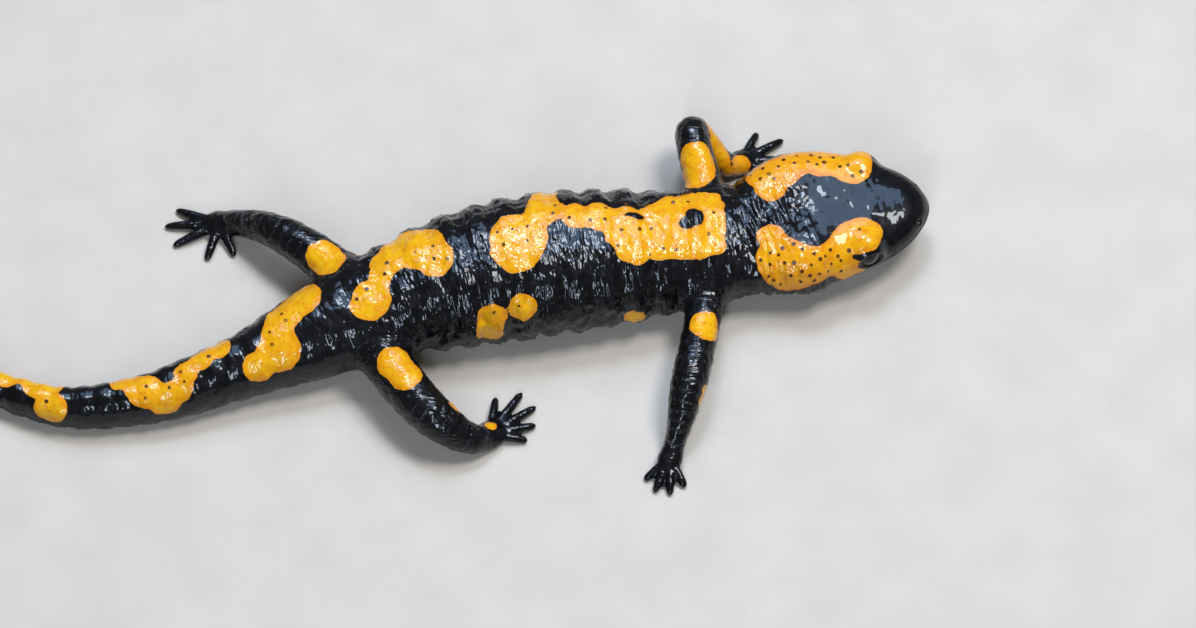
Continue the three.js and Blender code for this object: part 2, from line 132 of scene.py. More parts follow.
# %% Relief of the body
GROOVE_PITCH, GROOVE_DEPTH, GROOVE_FRONT, GROOVE_BACK, GROOVE_FADE = 5.0, 0.6, 13.0, -37.0, 4
TAIL_RING_PITCH, TAIL_RING_DEPTH, PELVIS_END, TAIL_RING_FADE = 3.6, 0.22, -49.0, 6
SPINE_FURROW_DEPTH, SPINE_FURROW_SPREAD, SPINE_FURROW = 0.45, 12, (-43.0, 21.0)
JAW_NOTCH, JAW_NOTCH_LENGTH, JAW_NOTCH_TOP, HEAD_END = 0.5, 1.6, 0.4, 25.2
EYE_X, GLAND_X, GLAND_LENGTH, GLAND_ANGLE = 44.9, 33.5, 6.2, 46
SWELLINGS = [  # height, place and half length along the body, angle and half spread round it
    (1.3, GLAND_X, GLAND_LENGTH, GLAND_ANGLE, 24),  # the poison glands
    (-0.6, GLAND_X, 9, 90, 20),  # the hollow of the nape
    (0.7, EYE_X, 4, 38, 26),  # the brows
]


def bell(place, middle, half_width):
    """1 at the middle, falling smoothly to 0 on both sides."""
    return np.exp(-(((place - middle) / half_width) ** 2))


def ease(x, start, end):
    """0 before start, 1 after end, and an even ramp between them."""
    t = np.clip((x - start) / (end - start), 0, 1)
    return t * t * (3 - 2 * t)


def rounded_end(distance, length):
    return np.sqrt(1 - (1 - np.clip(distance / length, 0, 1)) ** 2)


def row_of_grooves(x, first, pitch):
    """1 in narrow grooves at an even pitch, and 0 on the broad ridges between them."""
    return (0.5 + 0.5 * np.cos(2 * np.pi * (x - first) / pitch)) ** 2


def surface_relief(x, angle):
    """How far the skin stands above the plain tube, in millimetres."""
    side, up = np.abs(np.cos(angle)), np.sin(angle)
    tilt = np.degrees(np.arcsin(np.clip(up, -1, 1)))
    ends = np.clip(np.minimum(GROOVE_FRONT - x, x - GROOVE_BACK) / GROOVE_FADE, 0, 1)
    relief = -GROOVE_DEPTH * row_of_grooves(x, GROOVE_FRONT, GROOVE_PITCH) * side * ends
    along_back = (x > SPINE_FURROW[0]) & (x < SPINE_FURROW[1]) & (up > 0)
    relief -= np.where(along_back, SPINE_FURROW_DEPTH * bell(tilt, 90, SPINE_FURROW_SPREAD), 0)
    ends = np.clip(np.minimum(PELVIS_END - x, x - TAIL_X) / TAIL_RING_FADE, 0, 1)
    relief -= TAIL_RING_DEPTH * row_of_grooves(x, PELVIS_END, TAIL_RING_PITCH) * ends
    for height, place, length, around, spread in SWELLINGS:
        relief += height * bell(x, place, length) * bell(tilt, around, spread)
    relief -= JAW_NOTCH * bell(x, HEAD_END, JAW_NOTCH_LENGTH) * np.maximum(0, JAW_NOTCH_TOP - up)
    return relief


flank_relief = surface_relief(np.linspace(GROOVE_BACK, GROOVE_FRONT, 200), 0.0)
print("grooves of the flank, deepest:", round(float(-flank_relief.min()), 2), "mm")

# %% [markdown]
# ## From station and angle to a point in space
# Every ring of the body is a flattened round, a superellipse, that faces along the spine. One function
# gives the point for a station and an angle, and its partner goes the other way, which later tells
# each point of the skin where it is on the animal: that is how markings and wrinkles find their place.

# %% Points of the body
PLACE_ROUNDS, PLACE_STEP, ANGLE_ROUNDS, MIDDLE_HEIGHT, LEAST_SIZE = 12, 0.8, 3, 7, 0.2


def ring_bearing(x):
    """The way the spine runs at a station; the head is held straighter than the neck."""
    reach = 0.6
    along = np.arctan2(spine_at(x + reach) - spine_at(x - reach), 2 * reach)
    return along + (np.radians(HEAD_BEARING) - along) * ease(x, *HEAD_TURN)


def ring_sizes(x, angle):
    """Half width, half height, the level of the widest part, and the roundness power of a ring."""
    back, belly = back_at(x), belly_at(x)
    tail_end = rounded_end(x - TAIL_X, TAIL_ROUNDING)
    tall = rounded_end(SNOUT_X - x, SNOUT_BLUNTNESS) * tail_end
    level = belly + WIDEST_LEVEL * (back - belly)
    relief = surface_relief(x, angle) * tall
    upper = np.sin(angle) >= 0
    width = half_width_at(x) * rounded_end(SNOUT_X - x, SNOUT_ROUNDING) * tail_end + relief
    height = np.where(upper, back - level, level - belly) * tall + relief
    return width, height, level, np.where(upper, 2 / UPPER_FULLNESS, 2 / LOWER_FULLNESS)


def body_point(x, angle):
    """The point of the body's surface at a station and an angle."""
    x, angle = np.broadcast_arrays(np.asarray(x, float), np.asarray(angle, float))
    width, height, level, power = ring_sizes(x, angle)
    sideways = width * np.sign(np.cos(angle)) * np.abs(np.cos(angle)) ** power
    upward = height * np.sign(np.sin(angle)) * np.abs(np.sin(angle)) ** power
    turn = ring_bearing(x)
    place = [x - np.sin(turn) * sideways, spine_at(x) + np.cos(turn) * sideways, level + upward]
    return np.stack(place, axis=-1)


def left_of_spine(points, x):
    """How far each point lies to the left of the spine, along the ring at its station."""
    turn = ring_bearing(x)
    return (points[:, 1] - spine_at(x)) * np.cos(turn) - (points[:, 0] - x) * np.sin(turn)


def place_on_body(points):
    """The station and the angle of the ring on which each point lies, found in a few rounds."""
    x = np.clip(points[:, 0], TAIL_X, SNOUT_X)
    for _ in range(PLACE_ROUNDS):
        turn = ring_bearing(x)
        off = (points[:, 0] - x) * np.cos(turn) + (points[:, 1] - spine_at(x)) * np.sin(turn)
        x = np.clip(x + PLACE_STEP * off * np.cos(turn), TAIL_X, SNOUT_X)
    sideways = left_of_spine(points, x)
    angle = np.arctan2(points[:, 2] - MIDDLE_HEIGHT, sideways)
    for _ in range(ANGLE_ROUNDS):
        width, height, level, power = ring_sizes(x, angle)
        across = np.abs(sideways / np.maximum(width, LEAST_SIZE)) ** (1 / power)
        upward = np.abs((points[:, 2] - level) / np.maximum(height, LEAST_SIZE)) ** (1 / power)
        angle = np.arctan2(upward * np.sign(points[:, 2] - level), across * np.sign(sideways))
    return x, angle


print("middle of the back:", body_point(-9.0, math.pi / 2).round(2), "mm")

# %% [markdown]
# ## The legs
# A salamander's leg is soft and nearly round: a tube that bends at elbow and wrist, or knee and ankle,
# a flat palm, and four fingers or five toes. Each leg is given by a few points that the tube passes
# through, its thickness at them, and the bearing and length of each digit.

# %% Sizes of the legs
LEGS = {
    "front_left": dict(
        path=[(18.9, 13, 7.2), (18.2, 20.2, 7.8), (16.2, 30.6, 9), (21.9, 27.9, 2.7), (24.6, 29.4, 1.2)],
        radii=[3.6, 3.3, 2.9, 2.1, 1.5], palm=(2.6, 2.2, 1.15),
        digits=[(-24, 6.2), (6, 7.6), (34, 8.4), (66, 6.6)],
    ),
    "front_right": dict(
        path=[(18.2, 3, 6.6), (17.8, -4.6, 7), (15.5, -16.6, 7.2), (12.9, -26.4, 2.2), (12.1, -28.9, 1.2)],
        radii=[3.5, 3.15, 3.2, 1.75, 1.4], palm=(2.4, 2, 1.15),
        digits=[(-140, 5.3), (-114, 6.2), (-90, 6.2), (-63, 5.3)],
    ),
    "hind_left": dict(
        path=[(-41.5, -1.5, 7), (-44.5, 4.4, 7), (-54.4, 12.2, 6.6), (-62, 16.6, 2.4), (-64.6, 17, 1.3)],
        radii=[4.5, 3.9, 3.1, 2.2, 1.6], palm=(2.9, 2.5, 1.2),
        digits=[(-66, 6.2), (-108, 6.8), (-154, 8.6), (-180, 9.2), (157, 8)],
    ),
    "hind_right": dict(
        path=[
            (-38.2, -5, 6.8), (-35.6, -13, 6.9), (-27.7, -23.4, 6.4), (-21.1, -25.9, 2.8), (-18.2, -24.2, 1.3),
        ],
        radii=[4.9, 4.3, 3.7, 2.6, 1.7], palm=(2.9, 2.5, 1.2),
        digits=[(-6, 6.2), (16, 7.8), (37, 9.4), (58, 9.8), (83, 7.4)],
    ),
}
print("digits:", sum(len(leg["digits"]) for leg in LEGS.values()))

# %% Tubes of the limbs and digits
DIGIT_LINE = [(0, 1.1), (0.35, 1.1), (0.7, 0.82), (0.93, 0.52), (1, 0.46)]
DIGIT_RADII = [0.8, 0.84, 0.76, 0.62, 0.3]
LIMB_BALLS, DIGIT_BALLS = 120, 60


def smooth_path(points, count):
    """A line through the points that never loops or overshoots (a centripetal Catmull-Rom curve)."""
    p = np.array(points, float)
    p = np.vstack([2 * p[0] - p[1], p, 2 * p[-1] - p[-2]])
    line = []
    for place in np.linspace(0, len(points) - 1, count):
        i = min(int(place), len(points) - 2)
        a, b, c, d = p[i : i + 4]
        t = place - i
        ab, bc, cd = (max(np.sum((v - u) ** 2) ** 0.25, 1e-4) for u, v in ((a, b), (b, c), (c, d)))
        start = ((b - a) / ab - (c - a) / (ab + bc) + (c - b) / bc) * bc
        end = ((c - b) / bc - (d - b) / (bc + cd) + (d - c) / cd) * bc
        line.append(
            b + start * t + (3 * (c - b) - 2 * start - end) * t**2 + (2 * (b - c) + start + end) * t**3
        )
    return np.array(line)


def tube(points, radii, count):
    """Centres and radii of the balls that a limb or digit is threaded from."""
    thickness = curve_through(list(zip(np.linspace(0, 1, len(radii)), radii)))
    return smooth_path(points, count), thickness(np.linspace(0, 1, count))


def leg_tubes(leg):
    """The tube of the limb, then one for each digit, from the palm outward."""
    palm = np.array(leg["path"][-1])
    tubes = [tube(leg["path"], leg["radii"], LIMB_BALLS)]
    for bearing, length in leg["digits"]:
        ahead = np.array([math.cos(math.radians(bearing)), math.sin(math.radians(bearing))])
        line = [(*(palm[:2] + ahead * length * share), height) for share, height in DIGIT_LINE]
        tubes.append(tube(line, DIGIT_RADII, DIGIT_BALLS))
    return tubes


def palm_ball(leg):
    """The flat ball of the palm: centre, half sizes and its three axes as columns."""
    wrist, palm = np.array(leg["path"][-2]), np.array(leg["path"][-1])
    turn = math.atan2(palm[1] - wrist[1], palm[0] - wrist[0])
    axes = np.array(Matrix.Rotation(turn, 3, "Z"))
    return palm, np.array(leg["palm"]), axes


print("balls along each limb:", LIMB_BALLS, "and along each digit:", DIGIT_BALLS)

# %% [markdown]
# ## Where the eyes sit
# The eyes look out sideways and a little forward. A lid dome bulges over each eyeball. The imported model
# stands on the middle of its own box, so the place of its left eye tells how far the whole animal has
# to be moved from the curves' own stations.

# %% Places of the eyes
EYE_OUT, EYE_Z, EYE_RADIUS, EYE_AIM = 7.85, 9.2, 2.7, 76
LID_SIZES, LID_INSET = (3.35, 3.6, 3.3), 0.45
SIDES = {"left": 1, "right": -1}


def eye_frame(side):
    """The eye's centre and its axes: outward, toward the snout, and up."""
    turn = ring_bearing(EYE_X)
    out = EYE_OUT * side
    centre = np.array([EYE_X - math.sin(turn) * out, spine_at(EYE_X) + math.cos(turn) * out, EYE_Z])
    aim = math.radians(HEAD_BEARING + EYE_AIM * side)
    outward = np.array([math.cos(aim), math.sin(aim), 0])
    forward = np.array([math.sin(aim), -math.cos(aim), 0]) * side
    return centre, np.column_stack([outward, forward, (0, 0, 1)])


eye_low, eye_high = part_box("eye_left")
SHIFT = np.array((eye_low + eye_high) / 2) * 1000 - eye_frame(1)[0]
SHIFT[2] = 0
print("shift from the curves to the packed model:", SHIFT.round(3), "mm")

# %% [markdown]
# ## A rough body from overlapping pieces
# Tube, legs, digits and lid domes are made as closed meshes that overlap. Joining them by hand would
# leave creases and odd faces at each root. The Remesh modifier in voxel mode melts them into one
# closed surface of even squares instead, which is an easy start for an animal's skin.

# %% Closed meshes from rings
NEVER_ZERO = 1e-6


def unit(vectors):
    """The same vectors with length 1."""
    return vectors / np.maximum(np.linalg.norm(vectors, axis=-1, keepdims=True), NEVER_ZERO)


def closed_rings(rings):
    """Points and faces of a closed skin over rings of equal count."""
    rings = np.asarray(rings)
    rows, count = rings.shape[:2]
    points = np.vstack([rings.reshape(-1, 3), rings[0].mean(0), rings[-1].mean(0)])
    faces = []
    for r in range(rows - 1):
        for i in range(count):
            a, b = r * count + i, r * count + (i + 1) % count
            faces.append((a, b, b + count, a + count))
    last = (rows - 1) * count
    for i in range(count):
        j = (i + 1) % count
        faces.append((j, i, rows * count))
        faces.append((last + i, last + j, rows * count + 1))
    return points, faces


def round_ball(rows, count):
    """The unit vectors of a ball's rings, and the angle of each ring off the pole, which is Z."""
    polar = np.linspace(0, np.pi, rows + 2)[1:-1, None]
    around = np.linspace(0, 2 * np.pi, count, endpoint=False)[None]
    rings = (np.sin(polar) * np.cos(around), np.sin(polar) * np.sin(around), np.cos(polar))
    return np.stack(np.broadcast_arrays(*rings), -1), polar


def ball_rings(centre, half_sizes, axes, rows=24, count=36):
    return closed_rings(centre + (round_ball(rows, count)[0] * half_sizes) @ axes.T)


def tube_rings(centres, radii, count=20):
    ahead = unit(np.gradient(centres, axis=0))
    side = unit(np.cross((0, 0, 1), ahead))
    up = np.cross(ahead, side)
    around = np.linspace(0, 2 * np.pi, count, endpoint=False)[None, :, None]
    reach = side[:, None] * np.cos(around) + up[:, None] * np.sin(around)
    return closed_rings(centres[:, None] + radii[:, None, None] * reach)


print("a ball of 24 rings has", len(ball_rings(np.zeros(3), np.ones(3), np.eye(3))[1]), "faces")

# %% From points and faces to objects


def join(parts):
    """One list of points and one of faces from many."""
    points, faces, start = [], [], 0
    for part_points, part_faces in parts:
        points.append(part_points)
        faces += [tuple(start + i for i in face) for face in part_faces]
        start += len(part_points)
    return np.vstack(points), faces


def new_mesh(name, points, faces):
    """A mesh whose faces all point outward."""
    mesh = bpy.data.meshes.new(name)
    mesh.from_pydata([tuple(p) for p in points], [], faces)
    work = bmesh.new()
    work.from_mesh(mesh)
    bmesh.ops.recalc_face_normals(work, faces=work.faces)
    work.to_mesh(mesh)
    work.free()
    return mesh


def new_object(name, mesh):
    piece = bpy.data.objects.new(name, mesh)
    bpy.context.scene.collection.objects.link(piece)
    return piece


print("new objects go into:", bpy.context.scene.collection.name)

# %% Shape the rough body
RING_GAP, RING_POINTS = 0.4, 128
NOSE_RINGS, NOSE_START, TAIL_RINGS, TAIL_START = 28, 0.03, 10, 0.06
ROOT_EXTRA, TIP_EXTRA = -0.12, 0.12
nose = SNOUT_X - SNOUT_ROUNDING * (1 - np.cos(np.linspace(NOSE_START, np.pi / 2, NOSE_RINGS)))
tail = TAIL_X + TAIL_ROUNDING * (1 - np.cos(np.linspace(np.pi / 2, TAIL_START, TAIL_RINGS)))
stations = np.concatenate([nose, np.arange(nose[-1] - RING_GAP, tail[0], -RING_GAP), tail])
around = np.linspace(0, 2 * np.pi, RING_POINTS, endpoint=False)
body_mesh = closed_rings(body_point(stations[:, None], around[None, :]))
lid_balls = []
for side in SIDES.values():
    centre, axes = eye_frame(side)
    lid_balls.append((centre - LID_INSET * axes[:, 0], np.array(LID_SIZES), axes))

# The rough digits are a little thicker toward the tip, so that the squares below can't cut a tip off.
pieces = [body_mesh] + [ball_rings(*ball) for ball in lid_balls]
for leg in LEGS.values():
    limb, *digits = leg_tubes(leg)
    pieces += [tube_rings(*limb), ball_rings(*palm_ball(leg))]
    for centres, radii in digits:
        pieces.append(tube_rings(centres, radii + np.linspace(ROOT_EXTRA, TIP_EXTRA, len(radii))))
        tip_sizes = np.full(3, radii[-1] + TIP_EXTRA)
        pieces.append(ball_rings(centres[-1], tip_sizes, np.eye(3), rows=6, count=10))
rough = new_object("rough_body", new_mesh("rough_body", *join(pieces)))
print("rough body:", len(pieces), "closed meshes,", len(rough.data.polygons), "faces")

# %% Melt them into one surface
VOXEL = 0.56


def with_modifiers(piece):
    """A plain mesh of the piece as its modifiers leave it. The piece itself is taken away."""
    mesh = bpy.data.meshes.new_from_object(piece.evaluated_get(bpy.context.evaluated_depsgraph_get()))
    bpy.data.objects.remove(piece)
    return mesh


remesh = rough.modifiers.new("melt", "REMESH")
remesh.mode = "VOXEL"
remesh.voxel_size = VOXEL
skin_mesh = with_modifiers(rough)
print("after the voxel remesh:", len(skin_mesh.polygons), "faces")

# %% [markdown]
# ## Pulling the skin onto the true surface
# A voxel mesh has lost the exact shape and is sharp where a leg leaves the body. So each point is
# moved onto the true surface, found from its distance to the tube, the legs and the lids. Where two
# of them are near, their distances are blended, which fills the corner with a soft fold of skin.

# %% Distances to the parts of the body
tube_mesh = new_mesh("body_tube", *body_mesh)
body_tree = BVHTree.FromPolygons(
    [v.co for v in tube_mesh.vertices], [f.vertices for f in tube_mesh.polygons]
)
CLOSE = 0.02


def reach_to(points, place):
    return np.linalg.norm(points - place, axis=1)


def chunks(points, size=20000):
    """Slices of the points, so that a table of their distances to many balls fits in memory."""
    return [slice(start, start + size) for start in range(0, len(points), size)]


def to_body(points):
    """Signed distance to the body's tube, and the direction in which it grows."""
    distance, away = np.empty(len(points)), np.empty((len(points), 3))
    for i, point in enumerate(points):
        place, normal, _, reach = body_tree.find_nearest(point)
        offset = point - np.array(place)
        outside = 1.0 if offset @ np.array(normal) >= 0 else -1.0
        distance[i] = reach * outside
        away[i] = offset * outside / reach if reach > CLOSE else normal
    return distance, away


def to_tube(points, centres, radii):
    """The same for a tube that is threaded from balls."""
    distance, away = np.full(len(points), 1e3), np.zeros((len(points), 3))
    for some in chunks(points):
        gap = np.linalg.norm(points[some, None] - centres, axis=2) - radii
        nearest = np.argmin(gap, axis=1)
        distance[some] = gap[np.arange(len(nearest)), nearest]
        away[some] = unit(points[some] - centres[nearest])
    return distance, away


def to_ball(points, centre, half_sizes, axes):
    """The same for a flattened ball."""
    local = (points - centre) @ axes
    scaled = np.linalg.norm(local / half_sizes, axis=1)
    slope = local / half_sizes**2
    steep = np.maximum(np.linalg.norm(slope, axis=1), NEVER_ZERO)
    return scaled * (scaled - 1) / steep, (slope / steep[:, None]) @ axes.T


print("from the origin to the body:", round(float(to_body(np.zeros((1, 3)))[0][0]), 2), "mm")

# %% Blend the distances
ROOT_FOLD, WRIST_FOLD, WEB_FOLD, LID_FOLD = 2.6, 1.4, 0.5, 0.9
LEG_MARGIN, LID_REACH = 14, 8


def blend(first, second, radius):
    """The union of two distances, with a fold of skin of about the given radius where they meet."""
    (a, along_a), (b, along_b) = first, second
    share = np.clip(0.5 + 0.5 * (b - a) / radius, 0, 1)
    distance = b + (a - b) * share - radius * share * (1 - share)
    return distance, along_a * share[:, None] + along_b * (1 - share[:, None])


def to_leg(points, leg):
    limb, *digits = leg_tubes(leg)
    found = blend(to_tube(points, *limb), to_ball(points, *palm_ball(leg)), WRIST_FOLD)
    for digit in digits:
        found = blend(found, to_tube(points, *digit), WEB_FOLD)
    return found


def to_animal(points):
    """The blended distance to the whole animal, and the direction in which it grows."""
    distance, away = to_body(points)

    def add_part(near, measure, part, fold):
        if near.any():
            here = blend((distance[near], away[near]), measure(points[near], part), fold)
            distance[near], away[near] = here

    for leg in LEGS.values():
        path = np.array(leg["path"])
        low, high = path.min(0) - LEG_MARGIN, path.max(0) + LEG_MARGIN
        add_part(np.all((points > low) & (points < high), axis=1), to_leg, leg, ROOT_FOLD)
    for ball in lid_balls:
        near = reach_to(points, ball[0]) < LID_REACH
        add_part(near, lambda some, ball: to_ball(some, *ball), ball, LID_FOLD)
    return distance, unit(away)


print("widest fold between parts:", ROOT_FOLD, "mm")

# %% Settle the points on the surface
SLIDE = 0.5


def mesh_points(mesh):
    points = np.empty(len(mesh.vertices) * 3)
    mesh.vertices.foreach_get("co", points)
    return points.reshape(-1, 3)


def mesh_edges(mesh):
    edges = np.empty(len(mesh.edges) * 2, int)
    mesh.edges.foreach_get("vertices", edges)
    return edges.reshape(-1, 2)


def even_out(points, edges, away):
    """Slides each point along the surface toward the middle of its neighbours."""
    total = np.zeros_like(points)
    for axis in range(3):
        for here, there in ((0, 1), (1, 0)):
            total[:, axis] += np.bincount(edges[:, here], points[edges[:, there], axis], len(points))
    count = np.bincount(edges.ravel(), minlength=len(points))
    drift = total / np.maximum(count, 1)[:, None] - points
    return points + SLIDE * (drift - np.sum(drift * away, axis=1)[:, None] * away)


def settle(mesh, rounds):
    """Moves the mesh's points onto the surface, and evens them out after all rounds but the last."""
    points, edges = mesh_points(mesh), mesh_edges(mesh)
    for rounds_left in range(rounds, -1, -1):
        distance, away = to_animal(points)
        points = points - distance[:, None] * away
        if rounds_left:
            points = even_out(points, edges, away)
    mesh.vertices.foreach_set("co", points.ravel())
    return points, away


points, away = settle(skin_mesh, 4)
print("settled", len(points), "points")

# %% [markdown]
# ## Finer mesh where the detail is
# A mouth line, lids and nostrils need far smaller faces than a flank. The head, hands and feet are
# split once, and narrow bands round the mouth, eyes and nostrils once more.

# %% Curves of the mouth and places of the nostrils
MOUTH_CORNER = 39.8
MOUTH_LINE = [(MOUTH_CORNER, -15), (43, -10), (48, -8), (SNOUT_X, -7)]
LIP_STATIONS, LIP_START, LIP_STEP, MOUTH_POINTS = 60, 0.3, 4, 700
NOSTRIL_BACK, NOSTRIL_TILT, NOSTRIL_RADIUS = 1.9, 54, 0.36

mouth_angle_at = curve_through(MOUTH_LINE)
mouth_stations = np.concatenate(
    [nose[1:], np.linspace(nose[-1] - LIP_START, MOUTH_CORNER, LIP_STATIONS)]
)
lip_angle = np.radians(mouth_angle_at(mouth_stations))
left_lip, right_lip = body_point(mouth_stations, lip_angle), body_point(mouth_stations, np.pi - lip_angle)
mouth_curve = smooth_path(np.vstack([left_lip[::-1][::LIP_STEP], right_lip[::LIP_STEP]]), MOUTH_POINTS)
nostril_x = SNOUT_X - NOSTRIL_BACK
nostrils = [body_point(nostril_x, math.radians(90 - NOSTRIL_TILT * side)) for side in SIDES.values()]
print("width of the mouth:", round(float(np.ptp(mouth_curve[:, 1])), 1), "mm")

# %% Split the faces of head, hands, feet, lips and lids
HEAD_BACK, FOOT_RAMP, FOOT_MARGIN = 25.5, (0.4, 2.4), 3
NEAR_LIPS, NEAR_EYE, NEAR_NOSTRIL = 1.1, 3.9, 1.2


def nearest_on_line(points, line):
    nearest = np.empty(len(points), int)
    for some in chunks(points, 4000):
        gap = points[some, None] - line[None]
        nearest[some] = np.argmin(np.einsum("ijk,ijk->ij", gap, gap), axis=1)
    return nearest


def on_feet(points):
    """1 on the hands and feet, 0 away from them, and an even ramp over the wrist or ankle."""
    share = np.zeros(len(points))
    for leg in LEGS.values():
        palm, longest = np.array(leg["path"][-1]), max(length for _, length in leg["digits"])
        near = np.flatnonzero(reach_to(points, palm) < longest + FOOT_MARGIN)
        gap = to_ball(points[near], *palm_ball(leg))[0]
        for digit in leg_tubes(leg)[1:]:
            gap = np.minimum(gap, to_tube(points[near], *digit)[0])
        share[near] = np.maximum(share[near], 1 - ease(gap, *FOOT_RAMP))
    return share


def on_head_or_feet(points):
    return (points[:, 0] > HEAD_BACK) | (on_feet(points) > 0.5)


def near_features(points):
    inside = np.zeros(len(points), bool)
    head = np.flatnonzero(points[:, 0] > HEAD_BACK)
    nearest = nearest_on_line(points[head], mouth_curve)
    inside[head] = reach_to(points[head], mouth_curve[nearest]) < NEAR_LIPS
    places = [(eye_frame(side)[0], NEAR_EYE) for side in SIDES.values()]
    for place, reach in places + [(nostril, NEAR_NOSTRIL) for nostril in nostrils]:
        inside |= reach_to(points, place) < reach
    return inside


def split_faces(mesh, chosen):
    work = bmesh.new()
    work.from_mesh(mesh)
    flag = chosen(mesh_points(mesh))
    edges = [e for e in work.edges if flag[e.verts[0].index] and flag[e.verts[1].index]]
    bmesh.ops.subdivide_edges(work, edges=edges, cuts=1, use_grid_fill=True)
    many_sided = [f for f in work.faces if len(f.verts) > 4]
    bmesh.ops.triangulate(work, faces=many_sided)
    work.to_mesh(mesh)
    work.free()


for chosen in (on_head_or_feet, near_features):
    split_faces(skin_mesh, chosen)
    points, away = settle(skin_mesh, 1)
    print("after a split:", len(skin_mesh.polygons), "faces")

# %% [markdown]
# ## Lids, lips and nostrils
# The lids are a step in the skin: it passes over the eyeball and, inside a lens-shaped opening, drops
# behind it. The lips are a narrow groove whose upper edge hangs over the lower one. The nostrils are
# two small pits with a raised rim.

# %% Carve the lids
OPENING_MIDDLE, OPENING_HALF_LENGTH, OPENING_UP, OPENING_DOWN = 8, 40, 30, 31
LID_EDGE, LID_ROLL, LID_CREASE, BEHIND_EYE = 0.09, 0.12, 0.1, EYE_RADIUS - 0.55
LID_SEARCH, ROLL_PLACE, CREASE_PLACE = 5.2, (-0.3, 0.26), (-1.3, 0.35)


def opening_edge(points, side):
    """For the points near an eye: how far each lies inside the opening of the lids, in millimetres."""
    centre, axes = eye_frame(side)
    near = np.flatnonzero(reach_to(points, centre) < LID_SEARCH)
    local = (points[near] - centre) @ axes
    reach = np.linalg.norm(local, axis=1)
    across = np.degrees(np.arctan2(local[:, 1], local[:, 0])) - OPENING_MIDDLE
    rise = np.degrees(np.arcsin(local[:, 2] / reach))
    arch = np.where(rise > 0, OPENING_UP, OPENING_DOWN)
    almond = np.hypot(across / OPENING_HALF_LENGTH, rise / arch) + NEVER_ZERO
    steep = np.hypot(across / OPENING_HALF_LENGTH**2, rise / arch**2) / almond
    return near, local, reach, np.radians((1 - almond) / steep) * EYE_RADIUS


def carve_eye(points, side):
    centre, axes = eye_frame(side)
    near, local, reach, edge = opening_edge(points, side)
    rim = LID_ROLL * bell(edge, *ROLL_PLACE)
    rim -= LID_CREASE * bell(edge, *CREASE_PLACE) * (local[:, 0] > 0)
    inside = ease(edge, -LID_EDGE, LID_EDGE)
    goal = (reach + rim) * (1 - inside) + np.minimum(reach, BEHIND_EYE) * inside
    points[near] = centre + (local * (goal / reach)[:, None]) @ axes.T


for side in SIDES.values():
    carve_eye(points, side)
print("height of each opening:", OPENING_UP + OPENING_DOWN, "degrees of the eyeball")

# %% Carve the lips and nostrils
MOUTH_RANGE, MOUTH_LENGTH, CORNER_FADE, LIP_FADE = 3, 60, (-0.3, 2.0), (0.1, 0.5)
LIP_PROFILE = [(-0.6, 0, 0.16), (0.12, 0.5, 0.3), (-0.1, -0.55, 0.35)]
NOSTRIL_PROFILE = [(-0.55, 0, NOSTRIL_RADIUS), (0.05, 0.8, 0.3)]


def raised(reach, profile):
    """The height of a profile that is a sum of (height, place, spread) bells."""
    return sum(height * bell(reach, middle, spread) for height, middle, spread in profile)


head = np.flatnonzero(points[:, 0] > MOUTH_CORNER - MOUTH_RANGE)
nearest = nearest_on_line(points[head], mouth_curve)
gap = points[head] - mouth_curve[nearest]
along = unit(np.gradient(mouth_curve, axis=0)[nearest])
beyond = np.abs(np.sum(gap * along, axis=1))
above = np.sign(gap[:, 2]) * np.linalg.norm(gap, axis=1)
to_corner = np.minimum(nearest, MOUTH_POINTS - 1 - nearest) / MOUTH_POINTS * MOUTH_LENGTH
fade = ease(to_corner, *CORNER_FADE) * (1 - ease(beyond, *LIP_FADE))
points[head] += away[head] * (raised(above, LIP_PROFILE) * fade)[:, None]
for nostril in nostrils:
    points += away * raised(reach_to(points, nostril), NOSTRIL_PROFILE)[:, None]
print("points round the mouth:", int((fade > 0.5).sum()))

# %% [markdown]
# ## Folds of loose skin
# Amphibian skin is loose: it creases across the neck, along the flanks and at the bends of the legs,
# while the crown, the glands, the hands and the feet stay smooth. To run across the animal, a crease
# has to know how the skin lies. So each point first gets its place along and across the trunk or leg.

# %% Find how the skin lies
EVERY, LEG_EDGE, LEG_ROOT, ACROSS_LEG, ACROSS_FOOT = 4, (0.4, 1.2), (14, 26), 3.8, 3.3
station, angle = place_on_body(points)
lie = np.column_stack([station, left_of_spine(points, station), points[:, 2]])
on_leg = np.zeros(len(points))
for leg in LEGS.values():
    centres, radii = leg_tubes(leg)[0]
    reach = np.linalg.norm(points[:, None] - centres[None, ::EVERY], axis=2)
    nearest = np.argmin(reach, axis=1) * EVERY
    here = 1 - ease(reach.min(axis=1) - radii[nearest], *LEG_EDGE)
    here *= ease(nearest, *LEG_ROOT)
    steps = np.linalg.norm(np.diff(centres, axis=0), axis=1)
    along = np.concatenate([[0], np.cumsum(steps)])[nearest]
    mine = here > 0.5
    lie[mine, 0] = along[mine]
    lie[mine, 1:] = ACROSS_LEG * (points[mine] - centres[nearest[mine]])[:, 1:]
    on_leg = np.maximum(on_leg, here)
feet = on_feet(points)
lie[feet > 0.5] = points[feet > 0.5] * (1, ACROSS_FOOT, ACROSS_FOOT)
off_legs = (1 - on_leg) * (1 - feet)
on_leg *= 1 - feet
print("share of points on legs:", round(float((off_legs < 0.5).mean()), 2))

